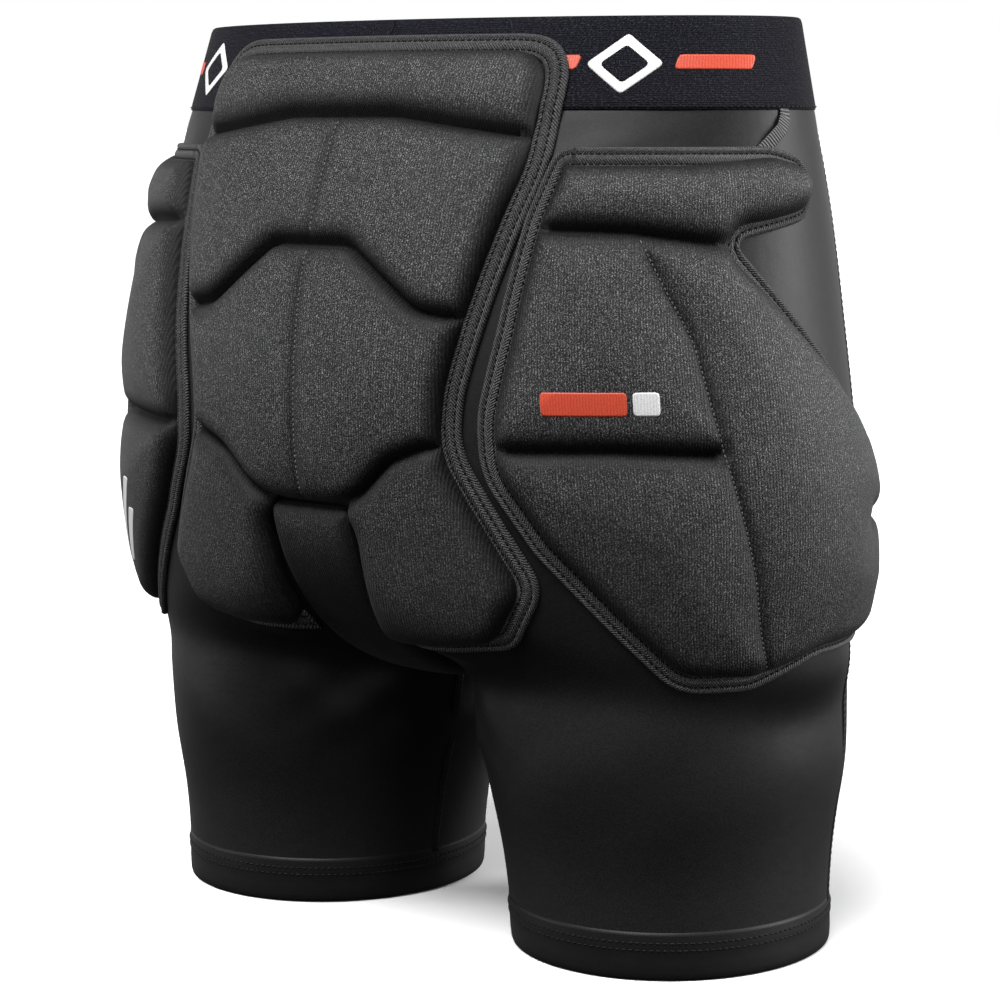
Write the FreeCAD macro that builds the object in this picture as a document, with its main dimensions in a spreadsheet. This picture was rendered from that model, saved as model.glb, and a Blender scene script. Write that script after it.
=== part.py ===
"""Padded impact shorts: a stretch shell with a tail pad and two hip pads.

Millimetres. +Z is up, the wearer faces -Y, the wearer's right is -X, and the leg hems stand on z = 0.
The shell, the waistband and every pad layer follow one body form, a loft of level ellipses. A layer is the
room between two copies of that form, grown by different amounts, and a pad is a stack of such layers
inside its own outline. Left-hand pieces are mirror images of right-hand ones.
"""
import FreeCAD, Part
import os
from math import cos, hypot, radians, sin, tan

UP = FreeCAD.Vector(0, 0, 1)

# Body form, one row a section: height, half width, half depth, centre behind the leg axis.
PELVIS = {
    "gusset": (115, 188, 96, 5),
    "groin": (140, 195, 110, 8),
    "buttock": (160, 197, 115.5, 11.4),
    "thigh_top": (200, 200.5, 124, 12.2),
    "seat": (250, 198.5, 130, 12.9),
    "hip": (300, 191.5, 128, 12.6),
    "flank": (350, 185, 117, 11.6),
    "band_foot": (400, 177, 97, 9.6),
    "waist": (440, 171, 77, 7.7),
}

# Leg form, one row a section: height, half width, centre from the middle, centre behind the leg axis.
LEG = {
    "hem": (0, 75.1, 107.7, 2.4),
    "knee_side": (50, 78.8, 105.8, 3.2),
    "thigh": (100, 87, 103, 3.5),
    "leg_top": (140, 79, 100, 4),
    "leg_root": (180, 70, 97, 7),
}

SIZES = {
    # Shell, waistband and cuffs.
    "leg_extra_depth": 5,
    "shell_thickness": 1.2,
    "crotch_strip_half": 34,
    "crotch_strip_bottom": 62,
    "crotch_strip_top": 152,
    # Valley under the seat, cut between the buttocks: heights, distances behind the leg axis, half width.
    "valley_top": 222,
    "valley_shoulder": 182,
    "valley_shoulder_behind": 122,
    "valley_turn": 138,
    "valley_turn_behind": 80,
    "valley_floor": 130,
    "valley_floor_behind": 40,
    "valley_half": 31,
    "front_seam": 32,
    "cuff_height": 20,
    "cuff_step": 0.6,
    "band_height": 42,
    "band_thickness": 1.8,
    "band_join_width": 12,
    "band_join_thickness": 0.8,
    # Layers of a pad, from the body outwards.
    "backing_thickness": 1,
    "foam_thickness": 12,
    "cover_thickness": 1,
    "binding_width": 9,
    "binding_thickness": 3.2,
    "foam_gap": 0.2,
    "groove_width": 3,
    "fold_gap": 0.4,
    "flap_lift": 0.5,
    # Tail pad outline, half widths and heights.
    "tail_top": 431,
    "tail_top_half": 104,
    "tail_side": 372,
    "tail_side_half": 106,
    "tail_waist_top": 272,
    "tail_waist_top_half": 83,
    "tail_waist": 248,
    "tail_waist_half": 81,
    "tail_lobe": 186,
    "tail_lobe_half": 113,
    "tail_bottom": 157,
    "tail_bottom_half": 92,
    # Strip of shell that stays bare between the tail pad and each hip pad.
    "pad_gap": 3,
    # Tongue of the tail pad, which follows the valley forwards.
    "tongue_half": 27,
    "tongue_tip_behind": 46,
    # Tail pad grooves.
    "tail_fold": 389,
    "tail_fold_angle": 30,
    "arch_top": 336,
    "arch_top_half": 22,
    "arch_foot": 309,
    "arch_foot_half": 58,
    "keel_top": 220,
    "keel_top_half": 22,
    "keel_foot": 246,
    "keel_foot_half": 60,
    # Hip pad outline, distances behind the middle of the hip and heights.
    "hip_turn": 75,
    "hip_top": 380,
    "hip_rear_top": 68,
    "hip_rear": 98,
    "hip_rear_height": 296,
    "hip_rear_low": 103,
    "hip_rear_low_height": 243,
    "hip_rear_foot": 84,
    "hip_rear_foot_height": 203,
    "hip_bottom": 137,
    "hip_bottom_rear": 30,
    "hip_front_bottom": 152,
    "hip_front": 102,
    "hip_front_height": 205,
    "hip_front_slope": 50,
    "hip_front_slope_height": 272,
    "hip_notch": 10,
    "hip_lobe_tip": 40,
    "hip_lobe_tip_low": 351,
    # Hip pad grooves.
    "hip_fold": 343,
    "hip_fold_angle": 20,
    "hip_fold_turn": 43,
    "hip_fold_across": 150,
    "hip_fold_behind": 89,
    "hip_rib": 248,
    "hip_front_rib": 214,
    "hip_seam_top": 46,
    "hip_seam_bottom": -5,
    # Elastic tether of each hip lobe.
    "tether_width": 6,
    "tether_thickness": 1,
    "tether_top": -26,
    "tether_foot": -17,
    "tether_gap": 4,
}

REACH = 260  # longer than any half of the form, for cutting solids that pass right through it

doc = FreeCAD.newDocument("padded_shorts")
sheet = doc.addObject("Spreadsheet::Sheet", "Sizes")
pieces = {}


# Driving dimensions ------------------------------------------------------------------------------------

def write_sheet():
    """One row a size: its name, its value and the alias that expressions use."""
    cells = dict(SIZES)
    for section, (height, width, depth, behind) in PELVIS.items():
        cells[section + "_height"] = height
        cells[section + "_half_width"] = width
        cells[section + "_half_depth"] = depth
        cells[section + "_behind"] = behind
    for section, (height, width, across, behind) in LEG.items():
        cells[section + "_height"] = height
        cells[section + "_half_width"] = width
        cells[section + "_across"] = across
        cells[section + "_behind"] = behind
    # The seat is the deepest section: this shift centres the whole pair of shorts, pads included, on y = 0.
    stack = "backing_thickness + foam_thickness + cover_thickness"
    cells["form_shift"] = f"=0 - seat_behind - ({stack}) / 2"
    for row, (alias, value) in enumerate(cells.items(), start=1):
        sheet.set(f"A{row}", alias)
        sheet.set(f"B{row}", str(value))
        sheet.setAlias(f"B{row}", alias)
    doc.recompute()


def size(alias):
    return float(sheet.get(alias))


# Document objects --------------------------------------------------------------------------------------

def add(kind, name, expressions=None, **properties):
    item = doc.addObject(kind, name)
    for key, value in properties.items():
        setattr(item, key, value)
    for key, expression in (expressions or {}).items():
        item.setExpression(key, expression)
    return item


def cut(name, base, tool):
    return add("Part::Cut", name, Base=base, Tool=tool)


def common(name, base, tool):
    return add("Part::Common", name, Base=base, Tool=tool)


def mirrored(name, source):
    return add("Part::Mirroring", name, Source=source, Base=FreeCAD.Vector(), Normal=FreeCAD.Vector(1, 0, 0))


def box(name, low, high):
    """Box between two corners, each corner three expressions."""
    expressions = {f"Placement.Base.{axis}": low[i] for i, axis in enumerate("xyz")}
    for i, side in enumerate(("Length", "Width", "Height")):
        expressions[side] = f"({high[i]}) - ({low[i]})"
    return add("Part::Box", name, expressions)


def keep(name, item):
    """Take a finished solid as the sub-part called name."""
    item.Label = name
    pieces[name] = item


def keep_pair(name, item):
    """Take a right-hand solid, and its mirror image, as the sub-parts name_right and name_left."""
    keep(name + "_right", item)
    keep(name + "_left", mirrored(item.Name + "_mirrored", item))


# Body form ---------------------------------------------------------------------------------------------

def pelvis(name, grow):
    """The trunk's form, grown outwards by an expression."""
    sections = []
    for section in PELVIS:
        drop = f" - ({grow})" if section == "gusset" else ""
        sections.append(add("Part::Ellipse", f"{name}_{section}", {
            "MajorRadius": f"Sizes.{section}_half_width + {grow}",
            "MinorRadius": f"Sizes.{section}_half_depth + {grow}",
            "Placement.Base.y": f"Sizes.{section}_behind + Sizes.form_shift",
            "Placement.Base.z": f"Sizes.{section}_height{drop}",
        }))
    return add("Part::Loft", name, Sections=sections, Solid=True, Ruled=False)


def valley_profile():
    """Side view of all that lies under the valley's floor line, which runs on past the seat at its top."""
    behind, top = back_depth(size("valley_top")), size("valley_top")
    lean = (behind - size("valley_shoulder_behind")) / (top - size("valley_shoulder"))
    corners = [
        (behind + lean * REACH, top + REACH, 0),
        (size("valley_shoulder_behind"), size("valley_shoulder"), 60),
        (size("valley_turn_behind"), size("valley_turn"), 60),
        (size("valley_floor_behind"), size("valley_floor"), 40),
        (-REACH, size("valley_floor"), 0),
        (-REACH, -REACH, 0),
        (behind + 2 * REACH, -REACH, 0),
        (behind + 2 * REACH, top + REACH, 0),
    ]
    face = doc.addObject("Part::Feature", "valley_profile")
    face.Shape = rounded_face(corners, lambda u, v: FreeCAD.Vector(0, u + size("form_shift"), v))
    return face


def valley(name, profile, grow, half):
    """The valley as a solid, its floor drawn in by an expression and its half width another."""
    face = add("Part::Offset2D", name + "_face", {"Value": f"0 - ({grow})"}, Source=profile)
    return add("Part::Extrusion", name, {"LengthFwd": half, "LengthRev": half}, Base=face,
               DirMode="Custom", Dir=FreeCAD.Vector(1, 0, 0), Solid=True)


def right_leg(name, grow):
    """The right leg's form, grown outwards by an expression."""
    sections = []
    quarter_turn = FreeCAD.Placement(FreeCAD.Vector(), FreeCAD.Rotation(UP, 90))
    for section in LEG:
        sections.append(add("Part::Ellipse", f"{name}_{section}", {
            "MajorRadius": f"Sizes.{section}_half_width + Sizes.leg_extra_depth + {grow}",
            "MinorRadius": f"Sizes.{section}_half_width + {grow}",
            "Placement.Base.x": f"0 - Sizes.{section}_across",
            "Placement.Base.y": f"Sizes.{section}_behind + Sizes.form_shift",
            "Placement.Base.z": f"Sizes.{section}_height",
        }, Placement=quarter_turn))
    return add("Part::Loft", name, Sections=sections, Solid=True, Ruled=False)


# Outlines ----------------------------------------------------------------------------------------------

def rounded_face(corners, place):
    """Face inside straight runs joined by tangent arcs.

    corners are (u, v, radius), place turns (u, v) into a point, and an arc never takes more than half
    of the shorter run beside it.
    """
    edges = []
    arcs = []
    count = len(corners)
    for i, (u, v, radius) in enumerate(corners):
        before, after = corners[i - 1], corners[(i + 1) % count]
        back = (before[0] - u, before[1] - v)
        ahead = (after[0] - u, after[1] - v)
        back_run, ahead_run = hypot(*back), hypot(*ahead)
        back = (back[0] / back_run, back[1] / back_run)
        ahead = (ahead[0] / ahead_run, ahead[1] / ahead_run)
        half = hypot(back[0] + ahead[0], back[1] + ahead[1]) / 2
        turn = half / (1 - half * half) ** 0.5
        reach = min(radius * turn, back_run * 0.49, ahead_run * 0.49)
        start = (u + back[0] * reach, v + back[1] * reach)
        end = (u + ahead[0] * reach, v + ahead[1] * reach)
        if reach < 1e-6:
            arcs.append((start, None, end))
            continue
        true_radius = reach / turn
        towards = ((back[0] + ahead[0]) / (2 * half), (back[1] + ahead[1]) / (2 * half))
        sagitta = hypot(true_radius, reach) - true_radius
        middle = (u + towards[0] * sagitta, v + towards[1] * sagitta)
        arcs.append((start, middle, end))
    for i, (start, middle, end) in enumerate(arcs):
        if middle:
            edges.append(Part.Arc(place(*start), place(*middle), place(*end)).toShape())
        following = arcs[(i + 1) % count][0]
        edges.append(Part.LineSegment(place(*end), place(*following)).toShape())
    return Part.Face(Part.Wire(edges))


def on_back(u, v):
    """Across the wearer's back, in the plane through the leg axis."""
    return FreeCAD.Vector(u, size("form_shift"), v)


def on_hip(u, v):
    """Along the right hip: u is the distance behind its middle, in a plane that faces the hip."""
    turn = radians(size("hip_turn"))
    return FreeCAD.Vector(u * cos(turn), u * sin(turn) + size("form_shift"), v)


def hip_direction():
    turn = radians(size("hip_turn"))
    return FreeCAD.Vector(-sin(turn), cos(turn), 0)


BACK_SIDE = {"place": on_back, "direction": FreeCAD.Vector(0, 1, 0)}
HIP_SIDE = {"place": on_hip, "direction": hip_direction}


def side_direction(side):
    return side["direction"]() if callable(side["direction"]) else side["direction"]


def outline(name, corners, side):
    item = doc.addObject("Part::Feature", name)
    item.Shape = rounded_face(corners, side["place"])
    return item


def inset(name, source, distance):
    """The same outline drawn in by an expression."""
    return add("Part::Offset2D", name, {"Value": f"0 - ({distance})"}, Source=source)


def prism(name, face, direction, length=2 * REACH):
    return add("Part::Extrusion", name, Base=face, DirMode="Custom", Dir=direction,
               LengthFwd=length, Solid=True)


def layer(name, column, inner, outer):
    """The part of a column that lies between two forms."""
    return cut(name, common(name + "_in_form", column, outer), inner)


# Pads --------------------------------------------------------------------------------------------------

def form_stack(name, lift):
    """The forms that bound a pad's layers. lift is how far the pad stands off the shell."""
    backing = f"{lift} + Sizes.backing_thickness"
    foam = f"{backing} + Sizes.foam_thickness"
    return {
        "skin": pelvis(name + "_skin", lift),
        "backing": pelvis(name + "_backing_top", backing),
        "foam": pelvis(name + "_foam_top", foam),
        "cavity": pelvis(name + "_cavity_top", f"{foam} + Sizes.foam_gap"),
        "cover": pelvis(name + "_cover_top", f"{foam} + Sizes.cover_thickness"),
        "binding": pelvis(name + "_binding_top", f"{lift} + Sizes.binding_thickness"),
    }


def pad_columns(name, face, side, region):
    """A pad's outline, its padded middle and the room for its foam, as columns cut to one region."""
    walls = "Sizes.binding_width + Sizes.foam_gap"
    faces = {
        "whole": face,
        "padded": inset(name + "_padded_face", face, walls),
        "hollow": inset(name + "_hollow_face", face, f"{walls} + Sizes.cover_thickness"),
        "foam": inset(name + "_foam_face", face, f"{walls} + Sizes.cover_thickness + Sizes.foam_gap"),
        "bound": inset(name + "_bound_face", face, "Sizes.binding_width"),
    }
    direction = side_direction(side)
    return {
        key: common(f"{name}_{key}_column", prism(f"{name}_{key}_prism", item, direction), region)
        for key, item in faces.items()
    }


def pad_layers(name, columns, forms):
    """Backing, cover and binding of a pad, and the block that its foam pieces are cut from."""
    binding_column = cut(name + "_rim_column", columns["whole"], columns["bound"])
    tub = layer(name + "_tub", columns["padded"], forms["backing"], forms["cover"])
    hollow = layer(name + "_hollow", columns["hollow"], forms["backing"], forms["cavity"])
    return {
        "backing": layer(name + "_backing", columns["bound"], forms["skin"], forms["backing"]),
        "cover": cut(name + "_cover", tub, hollow),
        "binding": layer(name + "_binding", binding_column, forms["skin"], forms["binding"]),
        "foam": layer(name + "_foam_block", columns["foam"], forms["backing"], forms["foam"]),
    }


def foam_cell(name, block, corners, side):
    """The foam inside one moulded cell, half a groove in from the cell's edges."""
    face = outline(name + "_cell", corners, side)
    drawn_in = inset(name + "_cell_inset", face, "Sizes.groove_width / 2")
    return common(name, prism(name + "_cell_prism", drawn_in, side_direction(side)), block)


def fold_region(name, pivot, outwards, angle):
    """Everything above a fold, less the wedge that the fold closes when it opens by its angle."""
    along = outwards.cross(UP)
    low = size("fold_gap")

    def place(out, up):
        return pivot + outwards * out + UP * up - along * REACH

    rise = low + REACH * tan(radians(angle))
    corners = [(-REACH, low, 0), (0, low, 0), (REACH, rise, 0), (REACH, REACH, 0), (-REACH, REACH, 0)]
    face = doc.addObject("Part::Feature", name + "_profile")
    face.Shape = rounded_face(corners, place)
    return prism(name, face, along)


def below_region(name, height):
    reach = str(REACH)
    return box(name, (f"-{reach}", f"-{reach}", "0"), (reach, reach, f"{height} - Sizes.fold_gap"))


def tail_corners():
    right = [
        (size("tail_top_half"), size("tail_top"), 26),
        (size("tail_side_half"), size("tail_side"), 80),
        (size("tail_waist_top_half"), size("tail_waist_top"), 80),
        (size("tail_waist_half"), size("tail_waist"), 40),
        (size("tail_lobe_half"), size("tail_lobe"), 22),
        (size("tail_bottom_half"), size("tail_bottom"), 18),
    ]
    left = [(-u, v, radius) for u, v, radius in reversed(right)]
    return right + left


def tail_cells():
    """Corners of the tail pad's left-hand cells, running past the outline where it cuts them."""
    arch = [(0, size("arch_top")), (size("arch_top_half"), size("arch_top")),
            (size("arch_foot_half"), size("arch_foot")), (REACH, size("arch_foot"))]
    keel = [(0, size("keel_top")), (size("keel_top_half"), size("keel_top")),
            (size("keel_foot_half"), size("keel_foot")), (REACH, size("keel_foot"))]
    bottom, fold, root = 0, size("tail_fold"), size("valley_half")
    return {
        "upper": [(0, fold), *arch, (REACH, fold)],
        "middle": [*arch, *reversed(keel)],
        "lobe": [(root, bottom), (root, size("keel_top")), *keel[2:], (REACH, bottom)],
    }


def sharp(points):
    return [(u, v, 0) for u, v in points]


def mirror_points(points):
    return [(-u, v) for u, v in reversed(points)]


def tail_pad():
    """The tail pad below its fold. The tongue has the middle to itself below the keel."""
    face = outline("tail_outline", tail_corners(), BACK_SIDE)
    reach = str(REACH)
    tongue_room = box("tongue_room", ("0 - Sizes.valley_half", f"-{reach}", "0"),
                      ("Sizes.valley_half", reach, "Sizes.keel_top"))
    region = cut("tail_region", below_region("tail_below_fold", "Sizes.tail_fold"), tongue_room)
    layers = pad_layers("tail", pad_columns("tail", face, BACK_SIDE, region), form_stack("tail_form", "0"))
    keep("tail_backing", layers["backing"])
    keep("tail_cover", layers["cover"])
    right = right_half("tail_binding_side", "0", "Sizes.waist_height")
    keep_pair("tail_binding", common("tail_binding_half", layers["binding"], right))
    for cell, points in tail_cells().items():
        for hand, corners in (("left", points), ("right", mirror_points(points))):
            name = f"tail_foam_{cell}_{hand}"
            keep(name, foam_cell(name, layers["foam"], sharp(corners), BACK_SIDE))
    return face


def tongue(profile):
    """Backing, foam and cover of the tongue, layers that follow the valley between the buttocks."""
    region = box("tongue_region", ("0 - Sizes.valley_half", "Sizes.tongue_tip_behind + Sizes.form_shift", "0"),
                 ("Sizes.valley_half", str(REACH), "Sizes.keel_top - Sizes.groove_width / 2"))

    def band(name, low, high, half):
        near = valley(name + "_near", profile, low, half)
        far = valley(name + "_far", profile, high, "Sizes.valley_half + 1")
        return common(name, cut(name + "_band", near, far), region)

    half = "Sizes.tongue_half"
    backing = "Sizes.backing_thickness"
    foam = f"{backing} + Sizes.foam_thickness"
    tub = band("tongue_tub", backing, f"{foam} + Sizes.cover_thickness", half)
    hollow = band("tongue_hollow", backing, f"{foam} + Sizes.foam_gap", f"{half} - Sizes.cover_thickness")
    keep("tongue_backing", band("tongue_backing", "0", backing, half))
    keep("tongue_cover", cut("tongue_cover", tub, hollow))
    keep("tail_foam_tongue", band("tail_foam_tongue", backing, foam,
                                  f"{half} - Sizes.cover_thickness - Sizes.foam_gap"))


def back_depth(height):
    """How far behind the leg axis the form's back lies at a height, by straight lines between sections."""
    rows = sorted((size(s + "_height"), size(s + "_behind") + size(s + "_half_depth")) for s in PELVIS)
    for (low, near), (high, far) in zip(rows, rows[1:]):
        if low <= height <= high:
            return near + (far - near) * (height - low) / (high - low)
    return rows[-1][1]


def tail_flap(face):
    pivot = FreeCAD.Vector(0, back_depth(size("tail_fold")) + size("form_shift"), size("tail_fold"))
    region = fold_region("tail_flap_region", pivot, FreeCAD.Vector(0, 1, 0), size("tail_fold_angle"))
    columns = pad_columns("tail_flap", face, BACK_SIDE, region)
    layers = pad_layers("tail_flap", columns, form_stack("lifted_form", "Sizes.flap_lift"))
    for part, item in layers.items():
        keep("tail_flap_" + part, item)


def hip_corners():
    notch = size("hip_notch")
    return [
        (size("hip_rear_top"), size("hip_top"), 10),
        (size("hip_rear"), size("hip_rear_height"), 80),
        (size("hip_rear_low"), size("hip_rear_low_height"), 45),
        (size("hip_rear_foot"), size("hip_rear_foot_height"), 60),
        (size("hip_bottom_rear"), size("hip_bottom"), 22),
        (-size("hip_front"), size("hip_front_bottom"), 26),
        (-size("hip_front"), size("hip_front_height"), 50),
        (-size("hip_front_slope"), size("hip_front_slope_height"), 90),
        (notch, size("hip_fold"), 5),
        (-size("hip_lobe_tip"), size("hip_lobe_tip_low"), 10),
        (-size("hip_lobe_tip"), size("hip_top"), 14),
    ]


def hip_cells():
    top, bottom = size("hip_fold"), size("hip_bottom") - size("binding_width")
    rib, front_rib = size("hip_rib"), size("hip_front_rib")
    seam_top, seam_bottom = size("hip_seam_top"), size("hip_seam_bottom")

    def seam(height):
        return seam_bottom + (seam_top - seam_bottom) * (height - bottom) / (top - bottom)

    return {
        "rear_upper": [(REACH, top), (seam(top), top), (seam(rib), rib), (REACH, rib)],
        "rear_lower": [(REACH, rib), (seam(rib), rib), (seam(bottom), bottom), (REACH, bottom)],
        "front_upper": [(seam(top), top), (-REACH, top), (-REACH, front_rib), (seam(front_rib), front_rib)],
        "front_lower": [(seam(front_rib), front_rib), (-REACH, front_rib), (-REACH, bottom),
                        (seam(bottom), bottom)],
    }


def tail_room(face):
    """All that lies behind the tail pad and the bare strip round it."""
    return prism("tail_room", inset("tail_room_face", face, "0 - Sizes.pad_gap"), side_direction(BACK_SIDE))


def hip_pad(room):
    """The hip pad below its lobe, kept off the tail pad's room."""
    face = outline("hip_outline", hip_corners(), HIP_SIDE)
    region = cut("hip_region", below_region("hip_below_fold", "Sizes.hip_fold"), room)
    layers = pad_layers("hip", pad_columns("hip", face, HIP_SIDE, region), form_stack("hip_form", "0"))
    for part in ("backing", "cover", "binding"):
        keep_pair("hip_" + part, layers[part])
    for cell, points in hip_cells().items():
        name = "hip_foam_" + cell
        keep_pair(name, foam_cell(name, layers["foam"], sharp(points), HIP_SIDE))
    return face


def hip_lobe(face, room):
    turn = radians(size("hip_fold_turn"))
    across, behind = size("hip_fold_across"), size("hip_fold_behind")
    pivot = FreeCAD.Vector(-across, behind + size("form_shift"), size("hip_fold"))
    outwards = FreeCAD.Vector(-sin(turn), cos(turn), 0)
    above = fold_region("hip_lobe_above_fold", pivot, outwards, size("hip_fold_angle"))
    region = cut("hip_lobe_region", above, room)
    columns = pad_columns("hip_lobe", face, HIP_SIDE, region)
    layers = pad_layers("hip_lobe", columns, form_stack("lobe_form", "Sizes.flap_lift"))
    for part, item in layers.items():
        keep_pair("hip_lobe_" + part, item)


def hip_tether():
    """Ribbed elastic between the waistband's lower edge and the hip lobe's top edge."""
    half = size("tether_width") / 2
    top = size("waist_height") - size("band_height")
    foot = size("hip_top") + size("tether_gap")
    corners = [(size("tether_top") - half, top, 0), (size("tether_top") + half, top, 0),
               (size("tether_foot") + half, foot, 0), (size("tether_foot") - half, foot, 0)]
    face = outline("tether_outline", corners, HIP_SIDE)
    column = prism("tether_column", face, side_direction(HIP_SIDE))
    skin, top_form = pelvis("tether_skin", "0"), pelvis("tether_top_form", "Sizes.tether_thickness")
    keep_pair("hip_tether", layer("tether", column, skin, top_form))


# Shell, waistband and cuffs ----------------------------------------------------------------------------

def right_half(name, low, high, front="-" + str(REACH), back=str(REACH)):
    return box(name, (f"-{REACH}", front, low), ("0", back, high))


def strip(name, low, high):
    """The room between the legs that the gusset fills, from the middle to the right."""
    return box(name, ("0 - Sizes.crotch_strip_half", f"-{REACH}", low), ("0", str(REACH), high))


def shell(profile):
    """Two back panels, two front panels and the gusset between the legs."""
    inwards = "0 - Sizes.shell_thickness"
    trunk = cut("body_trunk", pelvis("body_pelvis", "0"), valley("body_valley", profile, "0", "Sizes.valley_half"))
    room = cut("hollow_trunk", pelvis("hollow_pelvis", inwards),
               valley("hollow_valley", profile, inwards, "Sizes.valley_half + Sizes.shell_thickness"))
    body = add("Part::MultiFuse", "body", Shapes=[trunk, right_leg("body_leg", "0")])
    hollow = add("Part::MultiFuse", "hollow", Shapes=[room, right_leg("hollow_leg", inwards)])
    band_foot = "Sizes.waist_height - Sizes.band_height"
    half = common("shell_half", cut("skin", body, hollow),
                  right_half("shell_region", "Sizes.cuff_height", band_foot))
    gusset_half = common("gusset_half", half, strip(
        "gusset_strip", "Sizes.crotch_strip_bottom", "Sizes.crotch_strip_top"))
    keep("crotch_gusset", add("Part::MultiFuse", "gusset",
                              Shapes=[gusset_half, mirrored("gusset_mirrored", gusset_half)]))
    panels = cut("shell_panels", half, strip(
        "gusset_room", "Sizes.crotch_strip_bottom", "Sizes.crotch_strip_top"))
    seam = "Sizes.form_shift - Sizes.front_seam"
    keep_pair("back_panel", common("back_panel", panels, right_half(
        "back_region", "0", "Sizes.waist_height", front=seam)))
    keep_pair("front_panel", common("front_panel", panels, right_half(
        "front_region", "0", "Sizes.waist_height", back=seam)))


def waistband():
    foot = "Sizes.waist_height - Sizes.band_height"
    reach = str(REACH)
    region = box("band_region", (f"-{reach}", f"-{reach}", foot), (reach, reach, "Sizes.waist_height"))
    outer, inner = pelvis("band_outer", "0"), pelvis("band_inner", "0 - Sizes.band_thickness")
    keep("waistband", layer("waistband", region, inner, outer))
    lap = pelvis("band_lap", "0 - Sizes.band_thickness - Sizes.band_join_thickness")
    place = box("band_join_region", ("0 - Sizes.band_join_width / 2", "0", foot),
                ("Sizes.band_join_width / 2", reach, "Sizes.waist_height"))
    keep("waistband_join", layer("waistband_join", place, lap, pelvis("band_join_top", "0 - Sizes.band_thickness")))


def cuffs():
    region = right_half("cuff_region", "0", "Sizes.cuff_height")
    outer = right_leg("cuff_outer", "Sizes.cuff_step")
    inner = right_leg("cuff_inner", "0 - Sizes.shell_thickness")
    keep_pair("leg_cuff", layer("leg_cuff", region, inner, outer))


# Checks and files --------------------------------------------------------------------------------------

def check_and_write():
    doc.recompute()
    for item in doc.Objects:
        if "Invalid" in item.State or "Error" in item.State:
            raise RuntimeError(f"{item.Name} failed: {item.State}")
    for name, item in pieces.items():
        shape = item.Shape
        if shape.isNull() or not shape.isValid() or not shape.Solids:
            raise RuntimeError(f"{name} has no valid solid")
    os.makedirs("parts", exist_ok=True)
    for name, item in pieces.items():
        item.Shape.exportStep(f"parts/{name}.step")
        box_ = item.Shape.BoundBox
        print(f"{name:24s} {len(item.Shape.Solids)} solid {item.Shape.Volume / 1000:8.1f} cm3"
              f"  z {box_.ZMin:6.1f} to {box_.ZMax:6.1f}")


write_sheet()
valley_side = valley_profile()
shell(valley_side)
waistband()
cuffs()
tail_face = tail_pad()
tail_flap(tail_face)
tongue(valley_side)
beside_tail = tail_room(tail_face)
hip_lobe(hip_pad(beside_tail), beside_tail)
hip_tether()
check_and_write()
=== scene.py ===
"""Looks of the padded impact shorts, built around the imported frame.

The body form repeats the CAD model's sections. One implicit function, gap(), says how far a point is
outside that form, and every piece of cloth is laid on the surface where the gap is nought. All lengths are
millimetres until make_object() turns them into metres.
"""
from functools import partial
from math import ceil, cos, pi, radians, sin
import bmesh
import bpy
import numpy as np
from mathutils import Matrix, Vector
from mathutils.geometry import delaunay_2d_cdt


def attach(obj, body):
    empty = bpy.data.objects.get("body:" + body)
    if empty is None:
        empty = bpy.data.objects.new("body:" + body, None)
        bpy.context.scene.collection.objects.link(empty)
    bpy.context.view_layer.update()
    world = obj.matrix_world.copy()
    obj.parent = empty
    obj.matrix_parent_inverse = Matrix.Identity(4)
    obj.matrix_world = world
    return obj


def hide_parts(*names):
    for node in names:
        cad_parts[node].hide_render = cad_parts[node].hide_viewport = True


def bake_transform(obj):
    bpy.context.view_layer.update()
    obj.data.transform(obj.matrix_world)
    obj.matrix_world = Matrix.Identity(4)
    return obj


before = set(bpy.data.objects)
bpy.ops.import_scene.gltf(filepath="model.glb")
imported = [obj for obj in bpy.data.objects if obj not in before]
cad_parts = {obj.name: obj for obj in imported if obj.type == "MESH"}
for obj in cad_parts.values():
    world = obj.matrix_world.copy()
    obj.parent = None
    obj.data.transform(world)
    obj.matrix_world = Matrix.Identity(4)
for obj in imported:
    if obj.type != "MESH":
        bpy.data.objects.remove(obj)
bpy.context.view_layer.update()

MM = 0.001
GARMENT = "garment"
HANDS = ((-1, "right"), (1, "left"))  # the wearer's right is towards -x

# Body form: height, half width, half depth, centre behind the leg axis.
PELVIS = np.array([
    (115, 188, 96, 5),
    (140, 195, 110, 8),
    (160, 197, 115.5, 11.4),
    (200, 200.5, 124, 12.2),
    (250, 198.5, 130, 12.9),
    (300, 191.5, 128, 12.6),
    (350, 185, 117, 11.6),
    (400, 177, 97, 9.6),
    (440, 171, 77, 7.7),
], float)
# Leg form: height, half width, centre from the middle, centre behind the leg axis.
LEG = np.array([
    (0, 75.1, 107.7, 2.4),
    (50, 78.8, 105.8, 3.2),
    (100, 87, 103, 3.5),
    (140, 88, 100, 4),
    (180, 86, 97, 7),
], float)
LEG_EXTRA_DEPTH = 5
SEAT_BEHIND, PAD_STACK = 12.9, 14
SHIFT = -SEAT_BEHIND - PAD_STACK / 2  # puts the middle of the shorts on y = 0
LEG_LIMIT = 196  # legs end inside the trunk here

# Underside of the seat, a rounded quarter from the seat forwards to the crotch, and another to the front.
CROTCH_HEIGHT, SEAT_TURN = 129, 225
REAR_START, REAR_REACH = 30, 110
FRONT_START, FRONT_REACH = -10, 105
UNDERSIDE_POWER = 1.8
CHEEK_FULLNESS, CHEEK_START, CHEEK_WIDTH = 27, 12, 44

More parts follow.
